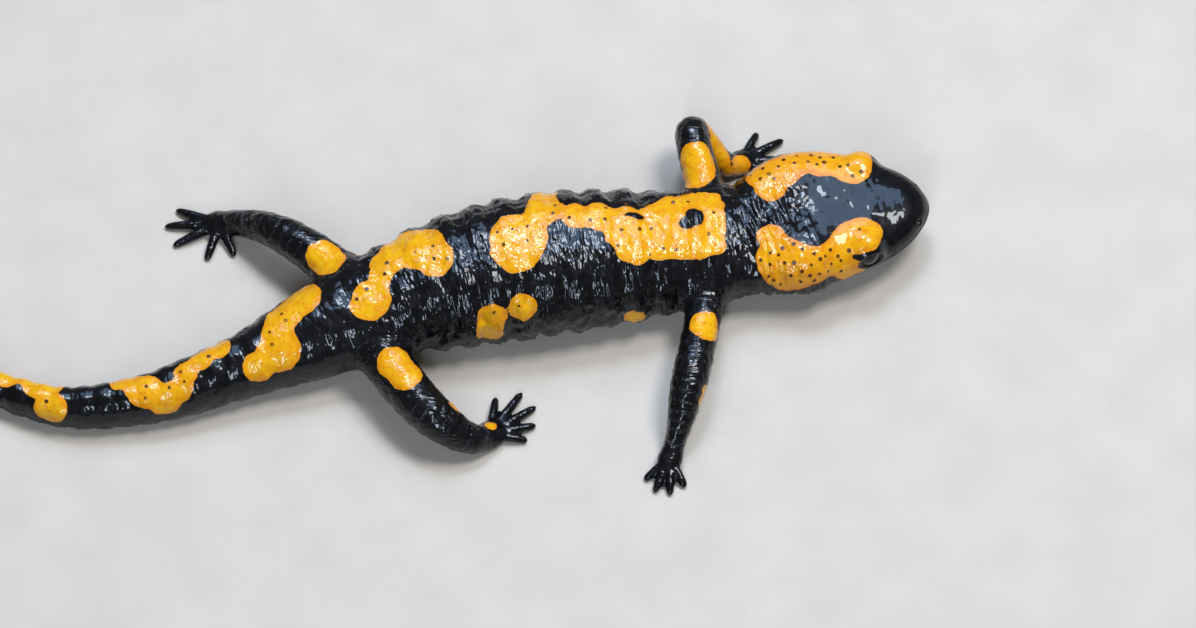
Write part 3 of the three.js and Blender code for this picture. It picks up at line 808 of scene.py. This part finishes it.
# %% Say where the skin is loose
NECK_X, NECK_LENGTH, NECK_FRONT, CROWN = 25, 9, 36, (33, 38)
TRUNK_FRONT, TRUNK_BACK = (14, 20), (-44, -38)
SWOLLEN_BACK, SWOLLEN_LENGTH, SWOLLEN_SPREAD, NECK_LESS = 2, 7, 26, 0.85
tilt = np.degrees(np.arcsin(np.sin(angle)))
swollen = bell(station, GLAND_X - SWOLLEN_BACK, SWOLLEN_LENGTH) * bell(tilt, GLAND_ANGLE, SWOLLEN_SPREAD)
neck = bell(station, NECK_X, NECK_LENGTH) * (station < NECK_FRONT) * off_legs * (1 - NECK_LESS * swollen)
trunk = (1 - ease(station, *TRUNK_FRONT)) * ease(station, *TRUNK_BACK) * off_legs
flank = np.abs(np.cos(angle)) * trunk
crown = ease(station, *CROWN)
LOOSE_ALL_OVER = 0.45
LOOSER = ((0.55, neck), (0.3, trunk), (0.25, flank), (0.1, on_leg))
SMOOTHER = ((0.3, feet), (0.85, crown), (0.5, swollen))
loose = np.clip(LOOSE_ALL_OVER + sum(more * where for more, where in LOOSER), 0, 1)
for less, where in SMOOTHER:
    loose *= 1 - less * where
# At the wrist, where the lie of the skin changes from the leg's to the hand's, folds fade out.
loose *= np.clip(3 * np.abs(1 - 2 * feet), 0, 1)
print("looseness from", round(float(loose.min()), 2), "to", round(float(loose.max()), 2))

# %% [markdown]
# ## Creases, ribs and lumps
# Creases are the lines where a smooth noise, squeezed along the animal, passes through zero. They are
# real shape, deep enough to catch the light, and only the finest ones are left to bump. The ribs' grooves
# are deepened here, most of all on the left behind the middle of the trunk, and soft lumps lie over all.

# %% Wrinkle the skin
FINE_FOLD, NECK_FOLD, FLANK_FOLD, RIB_GROOVE = 0.22, 0.4, 0.3, 0.4
RIB_NOISE, REAR_RIBS, REAR_RIBS_LENGTH = 6, -20, 11
FINE_LUMP, CROWN_LUMP, BROAD_LUMP = 1.3, 1.8, 4
SNOUT_CALM, EYE_CALM = (46, 52), (3.0, 4.5)


def noise_at(places):
    return np.array([noise.noise(place) for place in places.tolist()])


def fold_lines(stretch, start, width):
    """1 along winding lines that run across the animal, and 0 between them."""
    return bell(noise_at(lie / stretch + start), 0, width)


creases = -FINE_FOLD * loose * (1 - 0.7 * feet) * fold_lines((1.25, 4, 4), 0, 0.26)
creases -= FLANK_FOLD * flank * fold_lines((2.4, 5, 5), 40, 0.18)
creases -= NECK_FOLD * neck * fold_lines((0.95, 6, 6), 80, 0.22)
ribs = row_of_grooves(station, GROOVE_FRONT, GROOVE_PITCH) * np.sqrt(np.clip(flank, 0, 1))
ribs *= np.clip(0.5 + noise_at(points / RIB_NOISE), 0, 1)
left = np.cos(angle)
ribs *= 0.8 + 0.5 * left + 0.9 * bell(station, REAR_RIBS, REAR_RIBS_LENGTH) * np.maximum(left, 0)
creases -= RIB_GROOVE * ribs
lumps = (0.14 * loose * (1 - 0.6 * neck) + 0.05 * on_leg) * (1 - 0.8 * feet)
lumpiness = (0.03 + lumps) * noise_at(points / FINE_LUMP)
lumpiness += 0.12 * (1 - feet) * noise_at(points / BROAD_LUMP)
lumpiness += 0.07 * crown * noise_at(points / CROWN_LUMP)
calm = 1 - 0.75 * ease(station, *SNOUT_CALM)
for side in SIDES.values():
    calm *= ease(reach_to(points, eye_frame(side)[0]), *EYE_CALM)
points += away * ((creases + lumpiness) * calm)[:, None]
points[:, 2] = np.maximum(points[:, 2], 0)
print("creases and lumps up to", round(float(np.abs(creases + lumpiness).max()), 2), "mm")

# %% [markdown]
# ## A low wart under every pore
# The poison glands open through dark pores. Most sit on the swellings behind the eyes, and a few in the
# marks along the back. The skin rises a little round each of them, so the places come before the
# mesh is finished, and the pores themselves are set later.

# %% Raise the warts
PORES = [  # station and degrees
    (31, 48), (31.5, 57), (30, 57), (32, 63), (33.5, 54), (34.5, 48), (36, 45), (37.5, 45), (38.5, 48),
    (40.5, 45), (29, 45), (27, 123), (28, 126), (25.5, 129), (26.5, 135), (28.5, 135), (30, 135), (31, 144),
    (29, 150), (32, 150), (33.5, 150), (37, 153), (26, 150), (38.5, 147), (32.5, 138), (33.5, 129),
    (32, 123), (27.5, 165), (30.5, 159), (26.5, 156), (40, 141), (-16.5, 81), (-14, 81), (-11.5, 81),
    (-16, 91), (-12, 91), (-27, 77), (-30, 77), (-27.5, 88), (-30, 87), (-25.5, 91), (-34.5, 74),
    (-35.5, 84), (-39, 90), (-41, 95), (-52, 80), (-55, 85), (-55.5, 102), (-52, 66), (-65, 76), (-67, 84),
    (-70, 84), (-70, 105), (-72.5, 108), (-76, 92), (-76.5, 118), (-92.5, 111), (16, 60), (13.5, 62),
    (9, 66), (5.5, 68), (18.5, 96), (12.5, 110), (8, 112), (2, 70), (-6.5, 62), (35.5, 54), (37, 54),
    (39, 54), (38, 57), (41.5, 57), (43, 54), (45, 60), (43.5, 66), (30.5, 114), (31, 118), (29, 120),
    (42, 138), (38.5, 132), (36.5, 135), (40.5, 147), (34.5, 135), (40.5, 163), (44, 120), (32.5, 158),
    (-1, 81), (-4.5, 78), (1.5, 81), (9, 90), (20, 75), (20, 87), (7, 90), (4, 90), (3, 102), (10.5, 108),
    (-7, 72), (-15.5, 144), (-20, 146),
]
WART_HEIGHT, WART_SPREAD = 0.1, 0.5
pore_places = np.array([body_point(x, math.radians(degrees)) for x, degrees in PORES])
for place in pore_places:
    points += away * (WART_HEIGHT * bell(reach_to(points, place), 0, WART_SPREAD))[:, None]
print("warts:", len(PORES))

# %% [markdown]
# ## Markings from a few round patches
# The yellow marks of a fire salamander are blots that run into each other. Each is a short list of
# round patches, given by station, angle round the body in degrees and radius. The blended distance to
# the nearest patch is stored at every point of the skin. The material later draws the edge where that
# distance is zero, which stays sharp however large the faces are.

# %% Lay out the markings
BODY_MARKS = [  # station, degrees and radius
    # left gland
    (43.8, 59, 2.7), (42.4, 46, 4.7), (38.5, 50, 3.5), (35.7, 52, 3.2), (33.2, 58, 3.4), (31.1, 67, 2.8),
    (30.7, 54, 3.1),
    # right gland
    (44.7, 125, 3.3), (42.7, 123, 2.7), (40.9, 130, 2.4), (38.3, 143, 3.1), (32.4, 141, 3.6),
    (31.7, 130, 2.1), (28.9, 144, 4.6), (28.2, 131, 4.2), (28.1, 107, 2.4),
    # right mouth corner
    (42.9, 171, 2.1), (41.4, 164, 2.1), (42, 180, 1.5),
    # back
    (20.7, 50, 0.8), (19.4, 107, 1.9), (17.8, 68, 4.3), (15.2, 87, 6.7), (10.8, 92, 5.5), (5.6, 106, 2.9),
    (5.4, 90, 4.6), (0.9, 78, 3.1), (-3.3, 76, 2.6), (-7.8, 40, 2.1), (-8.2, 52, 2.2), (-8.3, 67, 3.3),
    (-13.2, 88, 4.9), (-14.1, 97, 4.2),
    # rump
    (-27.4, 88, 3.4), (-29.3, 68, 4.7), (-31.4, 63, 4), (-31.7, 32, 1.5), (-34.4, 72, 2.9),
    (-36.3, 85, 2.1), (-39.3, 102, 3.5),
    # right flank
    (-20.4, 151, 2.4), (-20.9, 162, 2.3), (-21.2, 174, 2.2), (-14.7, 147, 2.5), (4.6, 181, 1.9),
    # tail base
    (-48, 52, 3), (-48.2, 61, 3.5), (-51.7, 69, 3.4), (-53.9, 88, 2.8), (-55, 117, 3.6),
    (-58.5, 130, 2.7),
    # middle of the tail
    (-63.2, 62, 2.5), (-66.4, 73, 2.2), (-69.3, 90, 2), (-71, 120, 2.2), (-73.7, 132, 2.9),
    (-76.5, 98, 2.9), (-79.5, 55, 2.3),
    # end of the tail
    (-91.7, 129, 2.8), (-94.1, 43, 3.8), (-100.5, 27, 3.8), (-104.1, 50, 3.2),
    # left flank
    (9.5, 8, 2.4), (6, -4, 1.8), (-19, 12, 2.6), (-24, 2, 1.8), (-36.5, 14, 1.7),
    # throat
    (43.5, 262, 2), (36, 284, 1.6), (33.5, 250, 1.4),
    # belly
    (4, 300, 1.6), (-14, 244, 1.8), (-31, 290, 1.5),
    # tail tip
    (-115.5, 90, 1.9), (-117, 60, 1.6),
]
DARK_SPOTS_ON_BACK = [
    (16.8, 79, 1.7), (14.9, 86, 1.3), (5.1, 78, 0.3), (6.1, 78, 0.36), (7.1, 79, 0.36), (8.0, 80, 0.3),
]
LEG_MARKS = [  # leg, share of its length, degrees and radius
    ("front_left", 0.345, 76, 3.4), ("front_left", 0.305, 70, 3.3), ("front_left", 0.57, 40, 1.6),
    ("front_left", 0.62, 62, 1.9), ("front_left", 0.665, 88, 1.8), ("front_left", 0.70, 112, 1.4),
    ("front_left", 0.75, 160, 1.1), ("front_left", 0.88, 140, 1.9),
    ("front_right", 0.33, 72, 2.9), ("front_right", 0.54, 8, 1.1), ("front_right", 0.575, 4, 1.2),
    ("hind_left", 0.27, 76, 3.0), ("hind_left", 0.31, 78, 2.9),
    ("hind_right", 0.315, 90, 3.3), ("hind_right", 0.365, 88, 2.9), ("hind_right", 0.545, 33, 0.8),
    ("hind_right", 0.575, 36, 0.8), ("hind_right", 0.98, 75, 1.1),
]
BEHIND_RIGHT_EYE = [((1.2, -3.9, 0.4), 1.4), ((2.5, -2.9, -1.7), 1.75)]  # from the eye's centre
print("patches on the body:", len(BODY_MARKS), "on the legs:", len(LEG_MARKS))

# %% Measure the distance to the markings
MARK_BLEND, MARK_STEPS, LID_MARGIN = 0.35, 200, 0.3


def distance_to_patches(points, patches):
    """Soft distance in millimetres to the union of (centre, radius) patches, below zero inside."""
    centres = np.array([centre for centre, _ in patches])
    radii = np.array([radius for _, radius in patches])
    result = np.empty(len(points))
    for some in chunks(points):
        gap = np.linalg.norm(points[some, None] - centres[None], axis=2) - radii
        least = gap.min(axis=1)
        spread = np.exp(-(gap - least[:, None]) / MARK_BLEND).sum(axis=1)
        result[some] = least - MARK_BLEND * np.log(spread)
    return result


def on_body(patches):
    return [(body_point(x, math.radians(degrees)), radius) for x, degrees, radius in patches]


def on_limb(leg_name, share, degrees, radius):
    """A patch on a leg, at a share of its length and an angle round it."""
    centres, radii = tube(LEGS[leg_name]["path"], LEGS[leg_name]["radii"], MARK_STEPS)
    last = MARK_STEPS - 1
    i = int(share * last)
    ahead = unit(centres[min(i + 1, last)] - centres[max(i - 1, 0)])
    side = unit(np.cross((0, 0, 1), ahead))
    turn = math.radians(degrees)
    out = side * math.cos(turn) + np.cross(ahead, side) * math.sin(turn)
    return centres[i] + radii[i] * out, radius


patches = on_body(BODY_MARKS) + [on_limb(*mark) for mark in LEG_MARKS]
centre, axes = eye_frame(SIDES["right"])
patches += [(centre + axes @ np.array(place), radius) for place, radius in BEHIND_RIGHT_EYE]
mark = distance_to_patches(points, patches)
mark = np.maximum(mark, -distance_to_patches(points, on_body(DARK_SPOTS_ON_BACK)))
for side in SIDES.values():
    near, _, _, edge = opening_edge(points, side)
    mark[near] = np.maximum(mark[near], LID_MARGIN + edge)
print("patches:", len(patches), "share of yellow points:", round(float((mark < 0).mean()), 2))

# %% [markdown]
# ## The finished mesh of the skin
# The points go from millimetres to metres and from the curves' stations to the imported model's place.
# The material needs to know more of each point, so attributes are stored there: the distance to the
# markings, nearness to a gland, to the underside, how loose the skin is, and how it lies.

# %% Make the skin
GLAND_COLOUR_LENGTH, UNDERSIDE = 1.4 * GLAND_LENGTH, (0.1, 0.35)
gland = bell(station, GLAND_X, GLAND_COLOUR_LENGTH)
underside = (1 - ease(points[:, 2] / back_at(station), *UNDERSIDE)) * off_legs


def in_place(points):
    """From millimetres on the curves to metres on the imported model."""
    return (points + SHIFT) * 0.001


def store(mesh, name, values):
    """Stores a number, or three, at each point of the mesh."""
    values = np.asarray(values, float)
    kind, field = ("FLOAT", "value") if values.ndim == 1 else ("FLOAT_VECTOR", "vector")
    mesh.attributes.new(name, kind, "POINT").data.foreach_set(field, values.ravel())


skin_mesh.vertices.foreach_set("co", in_place(points).ravel())
kept = {"mark": mark, "gland": gland, "underside": underside, "loose": loose, "lie": lie}
for name, values in kept.items():
    store(skin_mesh, name, values)
skin_mesh.shade_smooth()
skin_mesh.update()
skin = new_object("skin", skin_mesh)
print("skin:", sum(len(face.vertices) - 2 for face in skin_mesh.polygons), "triangles")

# %% [markdown]
# ## Wet black and yellow skin
# The skin is one material. A thin coat stands for the film of water, with its own sharper gloss. Under
# it, black and yellow are mixed by the stored distance, whose edge is made slightly ragged by noise.
# The yellow leans to orange over the glands and at its edges. Fine grains and cross wrinkles are bump.

# %% Helpers for materials
SHARE, FIRST_COLOUR, SECOND_COLOUR, MIXED_COLOUR = 0, 6, 7, 2


def node_maker(tree, prefix=""):
    """A function that adds a node to the tree, fills or links its inputs, and gives its outputs."""

    def add(kind, inputs=(), **settings):
        node = tree.nodes.new(prefix + kind)
        for key, value in settings.items():
            setattr(node, key, value)
        for key, value in dict(inputs).items():
            if isinstance(value, bpy.types.NodeSocket):
                tree.links.new(value, node.inputs[key])
            else:
                node.inputs[key].default_value = value
        return node.outputs

    return add


def new_material(name, sockets):
    """A material with what is even all over set on its sockets: its nodes, and how to add and link."""
    material = bpy.data.materials.new(name)
    material.use_nodes = True
    tree = material.node_tree
    shader = next(node for node in tree.nodes if node.type == "BSDF_PRINCIPLED")
    for socket, value in sockets.items():
        shader.inputs[socket].default_value = value

    def link(value, socket):
        tree.links.new(value, shader.inputs[socket])

    return material, node_maker(tree, "ShaderNode"), link


def calculate(add, operation, *values):
    return add("Math", dict(enumerate(values)), operation=operation)[0]


def attribute(add, name, output="Fac"):
    return add("Attribute", attribute_name=name)[output]


def mix_colours(add, share, first, second):
    inputs = {SHARE: share, FIRST_COLOUR: first, SECOND_COLOUR: second}
    return add("Mix", inputs, data_type="RGBA")[MIXED_COLOUR]


def ramp(add, value, start, end, low=0.0, high=1.0):
    """A smooth ramp from low, where the value is at the start, to high, where it is at the end."""
    inputs = dict(enumerate((value, start, end, low, high)))
    return add("MapRange", inputs, interpolation_type="SMOOTHSTEP")[0]


def grain(add, places, scale, detail=2.0):
    return add("TexNoise", {"Vector": places, "Scale": scale, "Detail": detail})[0]


print("helpers for materials are ready")

# %% Colours of the skin
YELLOW, LEMON, ORANGE = (0.68, 0.30, 0.002, 1), (0.72, 0.36, 0.004, 1), (0.60, 0.17, 0.002, 1)
BLACK, SLATE = (0.0014, 0.0014, 0.002, 1), (0.004, 0.0045, 0.007, 1)
BELLY_GREY = (0.006, 0.0055, 0.006, 1)
RAGGED, EDGE_SOFTNESS, GLAND_WARMTH, EDGE_WARMTH, SPECKLE = 1.6, 0.07, 0.35, 0.5, 0.65
WET_FILM = {
    "IOR": 1.33, "Specular IOR Level": 0.15, "Coat Weight": 1.0, "Coat Roughness": 0.05, "Coat IOR": 1.33,
}

skin_material, add, link = new_material("wet_skin", WET_FILM)
places = add("TexCoord")["Object"]
ragged = calculate(add, "MULTIPLY_ADD", grain(add, places, 330, 4), RAGGED, -RAGGED / 2)
edge = calculate(add, "ADD", attribute(add, "mark"), ragged)
yellow_share = ramp(add, edge, EDGE_SOFTNESS, -EDGE_SOFTNESS)

near_edge = ramp(add, edge, -1.0, -0.1, 0.0, EDGE_WARMTH)
warm = calculate(add, "MULTIPLY_ADD", attribute(add, "gland"), GLAND_WARMTH, near_edge)
blotches = ramp(add, grain(add, places, 260, 4), 0.38, 0.62)
speckle = ramp(add, grain(add, places, 1100, 3), 0.48, 0.70, 0.0, SPECKLE)
yellow = mix_colours(add, warm, mix_colours(add, blotches, YELLOW, LEMON), ORANGE)
yellow = mix_colours(add, speckle, yellow, ORANGE)
black = mix_colours(add, ramp(add, grain(add, places, 700, 3), 0.4, 0.7), BLACK, SLATE)
black = mix_colours(add, attribute(add, "underside"), black, BELLY_GREY)
link(mix_colours(add, yellow_share, black, yellow), "Base Color")
link(ramp(add, grain(add, places, 500, 2), 0.3, 0.7, 0.30, 0.5), "Roughness")
print("nodes for the colours:", len(skin_material.node_tree.nodes))

# %% Relief that is too fine for the mesh
BUMP_HEIGHT, BUMP_ON_YELLOW, BUMPS_ON_BLACK = 0.00025, 0.5, {"Normal": 0.8, "Coat Normal": 0.75}
WRINKLES_ON_YELLOW, GRANULES_ON_BLACK, GRANULES_ON_YELLOW = 0.3, 0.15, 0.7
loose_at = attribute(add, "loose")
lie_across = {0: attribute(add, "lie", "Vector"), 1: (1.0, 0.3, 0.3)}
across = add("VectorMath", lie_across, operation="MULTIPLY")[0]
wrinkles = calculate(add, "MULTIPLY_ADD", grain(add, across, 2.2, 0), 0.5, grain(add, across, 1.1, 1))
wrinkles = calculate(add, "MULTIPLY", wrinkles, loose_at)
fewer = ramp(add, yellow_share, 0.0, 1.0, 1.0, WRINKLES_ON_YELLOW)
wrinkles = calculate(add, "MULTIPLY", wrinkles, fewer)
granules = add("TexVoronoi", {"Vector": places, "Scale": 1500.0}, feature="SMOOTH_F1")["Distance"]
grains = calculate(add, "MULTIPLY", grain(add, places, 620, 1), 0.7)
granule_height = ramp(add, yellow_share, 0.0, 1.0, GRANULES_ON_BLACK, GRANULES_ON_YELLOW)
grains = calculate(add, "MULTIPLY_ADD", granules, granule_height, grains)
coarse = ramp(add, loose_at, 0.05, 0.3, 0.25, 1.0)
height = calculate(add, "MULTIPLY_ADD", grains, coarse, wrinkles)
for socket, on_black in BUMPS_ON_BLACK.items():
    strength = ramp(add, yellow_share, 0.0, 1.0, on_black, BUMP_ON_YELLOW)
    link(add("Bump", {"Strength": strength, "Distance": BUMP_HEIGHT, "Height": height})[0], socket)
skin.data.materials.append(skin_material)
print("nodes in the skin's material:", len(skin_material.node_tree.nodes))

# %% [markdown]
# ## The eyes
# A salamander's eye is a dark, wet ball under a lid dome. Each is a ball with the cornea's steeper bulge
# at its front, made from rings round the line of sight. Every point keeps its angle off that line, so
# the material can place the pupil and the iris.

# %% Shape the eyeballs
CORNEA_BULGE, CORNEA_SPREAD = 0.22, 34
EYE_RINGS, EYE_RING_POINTS = 40, 56


def eyeball(side):
    centre, axes = eye_frame(side)
    rings, off_sight = round_ball(EYE_RINGS, EYE_RING_POINTS)
    radius = EYE_RADIUS + CORNEA_BULGE * bell(np.degrees(off_sight), 0, CORNEA_SPREAD)
    points, faces = closed_rings(centre + (rings[..., [2, 0, 1]] * radius[..., None]) @ axes.T)
    points[-2] = centre + axes[:, 0] * (EYE_RADIUS + CORNEA_BULGE)
    points[-1] = centre - axes[:, 0] * EYE_RADIUS
    mesh = new_mesh("eye", in_place(points), faces)
    local = (points - centre) @ axes
    store(mesh, "off_sight", np.degrees(np.arctan2(np.hypot(local[:, 1], local[:, 2]), local[:, 0])))
    store(mesh, "eye_place", local)
    mesh.shade_smooth()
    return mesh


eyes = {name: new_object(f"eyeball_{name}", eyeball(side)) for name, side in SIDES.items()}
print("eyeball faces:", len(eyes["left"].data.polygons))

# %% The eye's material
PUPIL_EDGE, IRIS_EDGE = (22.5, 25.5), (46, 52)
PUPIL, IRIS, IRIS_FLECK = (0.001, 0.001, 0.001, 1), (0.007, 0.004, 0.003, 1), (0.04, 0.022, 0.008, 1)
WET_CORNEA = {"Specular IOR Level": 0.1, "Coat Weight": 1.0, "Coat Roughness": 0.02, "Coat IOR": 1.38}

eye_material, add, link = new_material("wet_eye", WET_CORNEA)
off_sight_at, eye_place = attribute(add, "off_sight"), attribute(add, "eye_place", "Vector")
iris = mix_colours(add, ramp(add, grain(add, eye_place, 5.0, 4), 0.5, 0.72), IRIS, IRIS_FLECK)
beyond_pupil, beyond_iris = (ramp(add, off_sight_at, *edge) for edge in (PUPIL_EDGE, IRIS_EDGE))
link(mix_colours(add, beyond_iris, mix_colours(add, beyond_pupil, PUPIL, iris), PUPIL), "Base Color")
link(ramp(add, grain(add, eye_place, 2.0, 2), 0.3, 0.7, 0.10, 0.18), "Roughness")
for eye in eyes.values():
    eye.data.materials.append(eye_material)
print("nodes in the eye's material:", len(eye_material.node_tree.nodes))

# %% [markdown]
# ## The pores of the poison glands
# Dark pores dot the swollen glands behind the eyes, and a few more lie in the marks along the back. They
# repeat, so Geometry Nodes set them: one small dished button is made once, and an instance of it is
# put on each place, turned to stand on the skin there. Realize Instances makes them real faces.

# %% Find the places of the pores
PORE_SHARES, SEED = (0.8, 1.25), 7
skin_tree = BVHTree.FromPolygons(
    [tuple(p) for p in mesh_points(skin_mesh)], [f.vertices for f in skin_mesh.polygons]
)
dice = np.random.default_rng(SEED)
found = [skin_tree.find_nearest(wanted)[:2] for wanted in in_place(pore_places)]
pore_mesh = bpy.data.meshes.new("pores")
pore_mesh.from_pydata([place for place, _ in found], [], [])
store(pore_mesh, "outward", [normal for _, normal in found])
store(pore_mesh, "share", [dice.uniform(*PORE_SHARES) for _ in found])
print("pores:", len(found))

# %% The pores' material
PORE_DARK, PORE_RIM = (0.018, 0.005, 0.002, 1), (0.42, 0.14, 0.008, 1)
DAMP = {"IOR": 1.33, "Specular IOR Level": 0.3, "Coat Weight": 0.3, "Coat Roughness": 0.2}

pore_material, add, link = new_material("pore", DAMP)
places = add("TexCoord")["Object"]
rim_colour = mix_colours(add, ramp(add, attribute(add, "rim"), 0.6, 0.95), PORE_DARK, PORE_RIM)
stain = ramp(add, grain(add, places, 2500, 2), 0.35, 0.7, 0.0, 0.5)
link(mix_colours(add, stain, rim_colour, PORE_DARK), "Base Color")
link(ramp(add, grain(add, places, 1500, 2), 0.3, 0.7, 0.25, 0.4), "Roughness")
print("nodes in the pores' material:", len(pore_material.node_tree.nodes))

# %% Build the tree of nodes that sets the pores
PORE_SIZES = {"Pore radius": 0.00034, "Height share": 0.12, "Dip": 1.2}
BOWL_EDGE = 0.75
tree = bpy.data.node_groups.new("set_pores", "GeometryNodeTree")
tree.interface.new_socket("Geometry", in_out="INPUT", socket_type="NodeSocketGeometry")
tree.interface.new_socket("Geometry", in_out="OUTPUT", socket_type="NodeSocketGeometry")
size_sockets = {}
for name in PORE_SIZES:
    size_sockets[name] = tree.interface.new_socket(name, in_out="INPUT", socket_type="NodeSocketFloat")
grow, number, other = (node_maker(tree, prefix) for prefix in ("GeometryNode", "ShaderNode", ""))

given = other("NodeGroupInput")
ball = grow("MeshUVSphere", {"Segments": 9, "Rings": 6, "Radius": 1.0})[0]
at = number("SeparateXYZ", {0: grow("InputPosition")[0]})
squares = calculate(number, "MULTIPLY_ADD", at[1], at[1], calculate(number, "MULTIPLY", at[0], at[0]))
out_from_middle = calculate(number, "SQRT", squares)
bowl = ramp(number, out_from_middle, 0.0, BOWL_EDGE, 1.0, 0.0)
top = calculate(number, "SUBTRACT", at[2], calculate(number, "MULTIPLY", bowl, given["Dip"]))
top = calculate(number, "MULTIPLY", top, given["Height share"])
dished = number("CombineXYZ", {0: at[0], 1: at[1], 2: top})[0]
button = grow("StoreNamedAttribute", {"Geometry": ball, "Name": "rim", "Value": out_from_middle})[0]
button = grow("SetPosition", {"Geometry": button, "Position": dished})[0]

outward = grow("InputNamedAttribute", {"Name": "outward"}, data_type="FLOAT_VECTOR")[0]
upright = other("FunctionNodeAlignRotationToVector", {"Vector": outward}, axis="Z")[0]
share = grow("InputNamedAttribute", {"Name": "share"}, data_type="FLOAT")[0]
on_points = {
    "Points": grow("MeshToPoints", {"Mesh": given["Geometry"]})[0],
    "Instance": button,
    "Rotation": upright,
    "Scale": calculate(number, "MULTIPLY", share, given["Pore radius"]),
}
real = grow("RealizeInstances", {"Geometry": grow("InstanceOnPoints", on_points)[0]})[0]
other("NodeGroupOutput", {0: grow("SetMaterial", {"Geometry": real, "Material": pore_material})[0]})
print("nodes that set the pores:", len(tree.nodes))

# %% Set the pores
seeds = new_object("pore_places", pore_mesh)
setter = seeds.modifiers.new("pores", "NODES")
setter.node_group = tree
for name, value in PORE_SIZES.items():
    setter[size_sockets[name].identifier] = value
pores = new_object("gland_pores", with_modifiers(seeds))
pores.data.shade_smooth()
print("pores:", len(pores.data.polygons), "faces")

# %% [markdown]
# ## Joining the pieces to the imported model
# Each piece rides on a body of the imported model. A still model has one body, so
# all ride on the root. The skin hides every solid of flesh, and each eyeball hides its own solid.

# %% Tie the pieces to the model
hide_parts(*FLESH)
for name, eye in eyes.items():
    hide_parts(f"eye_{name}")
slots = [(skin, "skin"), (pores, "skin"), (eyes["left"], "eye"), (eyes["right"], "eye")]
for piece, slot in slots:
    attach(piece, "root")
print("pieces riding on the root:", len(slots))

# %% [markdown]
# ## Floor, light and camera
# A pale floor and soft lights show the animal plainly. Wet skin is seen by what it mirrors. One broad,
# slightly blue panel stands opposite the camera, as an overcast sky would, and draws the sheen on head
# and back. Two small ones make the sharp glints there and on the snout, and a tall narrow one lights
# the near flank. The camera looks down at 60 degrees with a long lens.

# %% Lay the floor
FLOOR_HALF, FLOOR_LEVEL, FLOOR_ROUGHNESS = 2.5, -0.00004, 0.75
FLOOR_GREY, FLOOR_PALE = (0.49, 0.435, 0.375, 1), (0.52, 0.465, 0.40, 1)
corners = [(FLOOR_HALF * x, FLOOR_HALF * y, FLOOR_LEVEL) for x, y in ((-1, -1), (1, -1), (1, 1), (-1, 1))]
floor_mesh = bpy.data.meshes.new("floor")
floor_mesh.from_pydata(corners, [], [(0, 1, 2, 3)])
floor = new_object("floor", floor_mesh)
floor_material, add, link = new_material("pale_floor", {"Roughness": FLOOR_ROUGHNESS})
mottle = ramp(add, grain(add, add("TexCoord")["Object"], 90, 3), 0.3, 0.7)
link(mix_colours(add, mottle, FLOOR_GREY, FLOOR_PALE), "Base Color")
floor_mesh.materials.append(floor_material)
print("the floor is", 2 * FLOOR_HALF, "m wide")

# %% Light the scene
PANELS = {  # azimuth and elevation in degrees, distance and sizes in metres, watts, colour
    "sky_panel": (180, 58, 1.1, (0.8, 0.5), 7.0, (0.42, 0.63, 1.0)),
    "glint_panel": (184, 64, 1.0, (0.2, 0.2), 3.3, (0.85, 0.92, 1.0)),
    "snout_panel": (112, 67, 1.0, (0.3, 0.3), 7.0, (0.92, 0.96, 1.0)),
    "flank_panel": (-8, 40, 1.1, (0.12, 0.75), 6.0, (0.70, 0.83, 1.0)),
}
ROOM_COLOUR, ROOM_STRENGTH = (1.0, 0.96, 0.90, 1), 0.165
target = Vector(SHIFT * 0.001)


def direction(azimuth, elevation):
    """The way to a place seen at the given azimuth, where 0 is toward -Y, and elevation in degrees."""
    a, e = math.radians(azimuth), math.radians(elevation)
    return Vector((math.sin(a) * math.cos(e), -math.cos(a) * math.cos(e), math.sin(e)))


for name, (azimuth, elevation, distance, sizes, power, colour) in PANELS.items():
    light = bpy.data.lights.new(name, "AREA")
    light.shape = "RECTANGLE"
    light.size, light.size_y = sizes
    light.energy, light.color = power, colour
    lamp = new_object(name, light)
    back = direction(azimuth, elevation)
    lamp.location = target + back * distance
    lamp.rotation_euler = back.to_track_quat("Z", "Y").to_euler()
world = bpy.data.worlds.new("studio")
bpy.context.scene.world = world
world.use_nodes = True
background = world.node_tree.nodes["Background"]
background.inputs["Color"].default_value = ROOM_COLOUR
background.inputs["Strength"].default_value = ROOM_STRENGTH
bpy.context.scene.view_settings.view_transform = "Standard"
print("panels:", ", ".join(PANELS))

# %% Place the camera
FRAME_WIDTH, CAMERA_DISTANCE, CAMERA_ELEVATION, SENSOR_WIDTH = 0.2033, 1.5, 60, 36.0
camera_data = bpy.data.cameras.new("camera")
camera_data.sensor_width = SENSOR_WIDTH
camera_data.lens = SENSOR_WIDTH * CAMERA_DISTANCE / FRAME_WIDTH
camera_data.clip_start, camera_data.clip_end = 0.01, 20
camera = new_object("camera", camera_data)
camera_back = direction(0, CAMERA_ELEVATION)
camera.location = target + camera_back * CAMERA_DISTANCE
camera.rotation_mode = "QUATERNION"
camera.rotation_quaternion = (-camera_back).to_track_quat("-Z", "Y")
bpy.context.scene.camera = camera
print("lens:", round(camera_data.lens, 1), "mm")
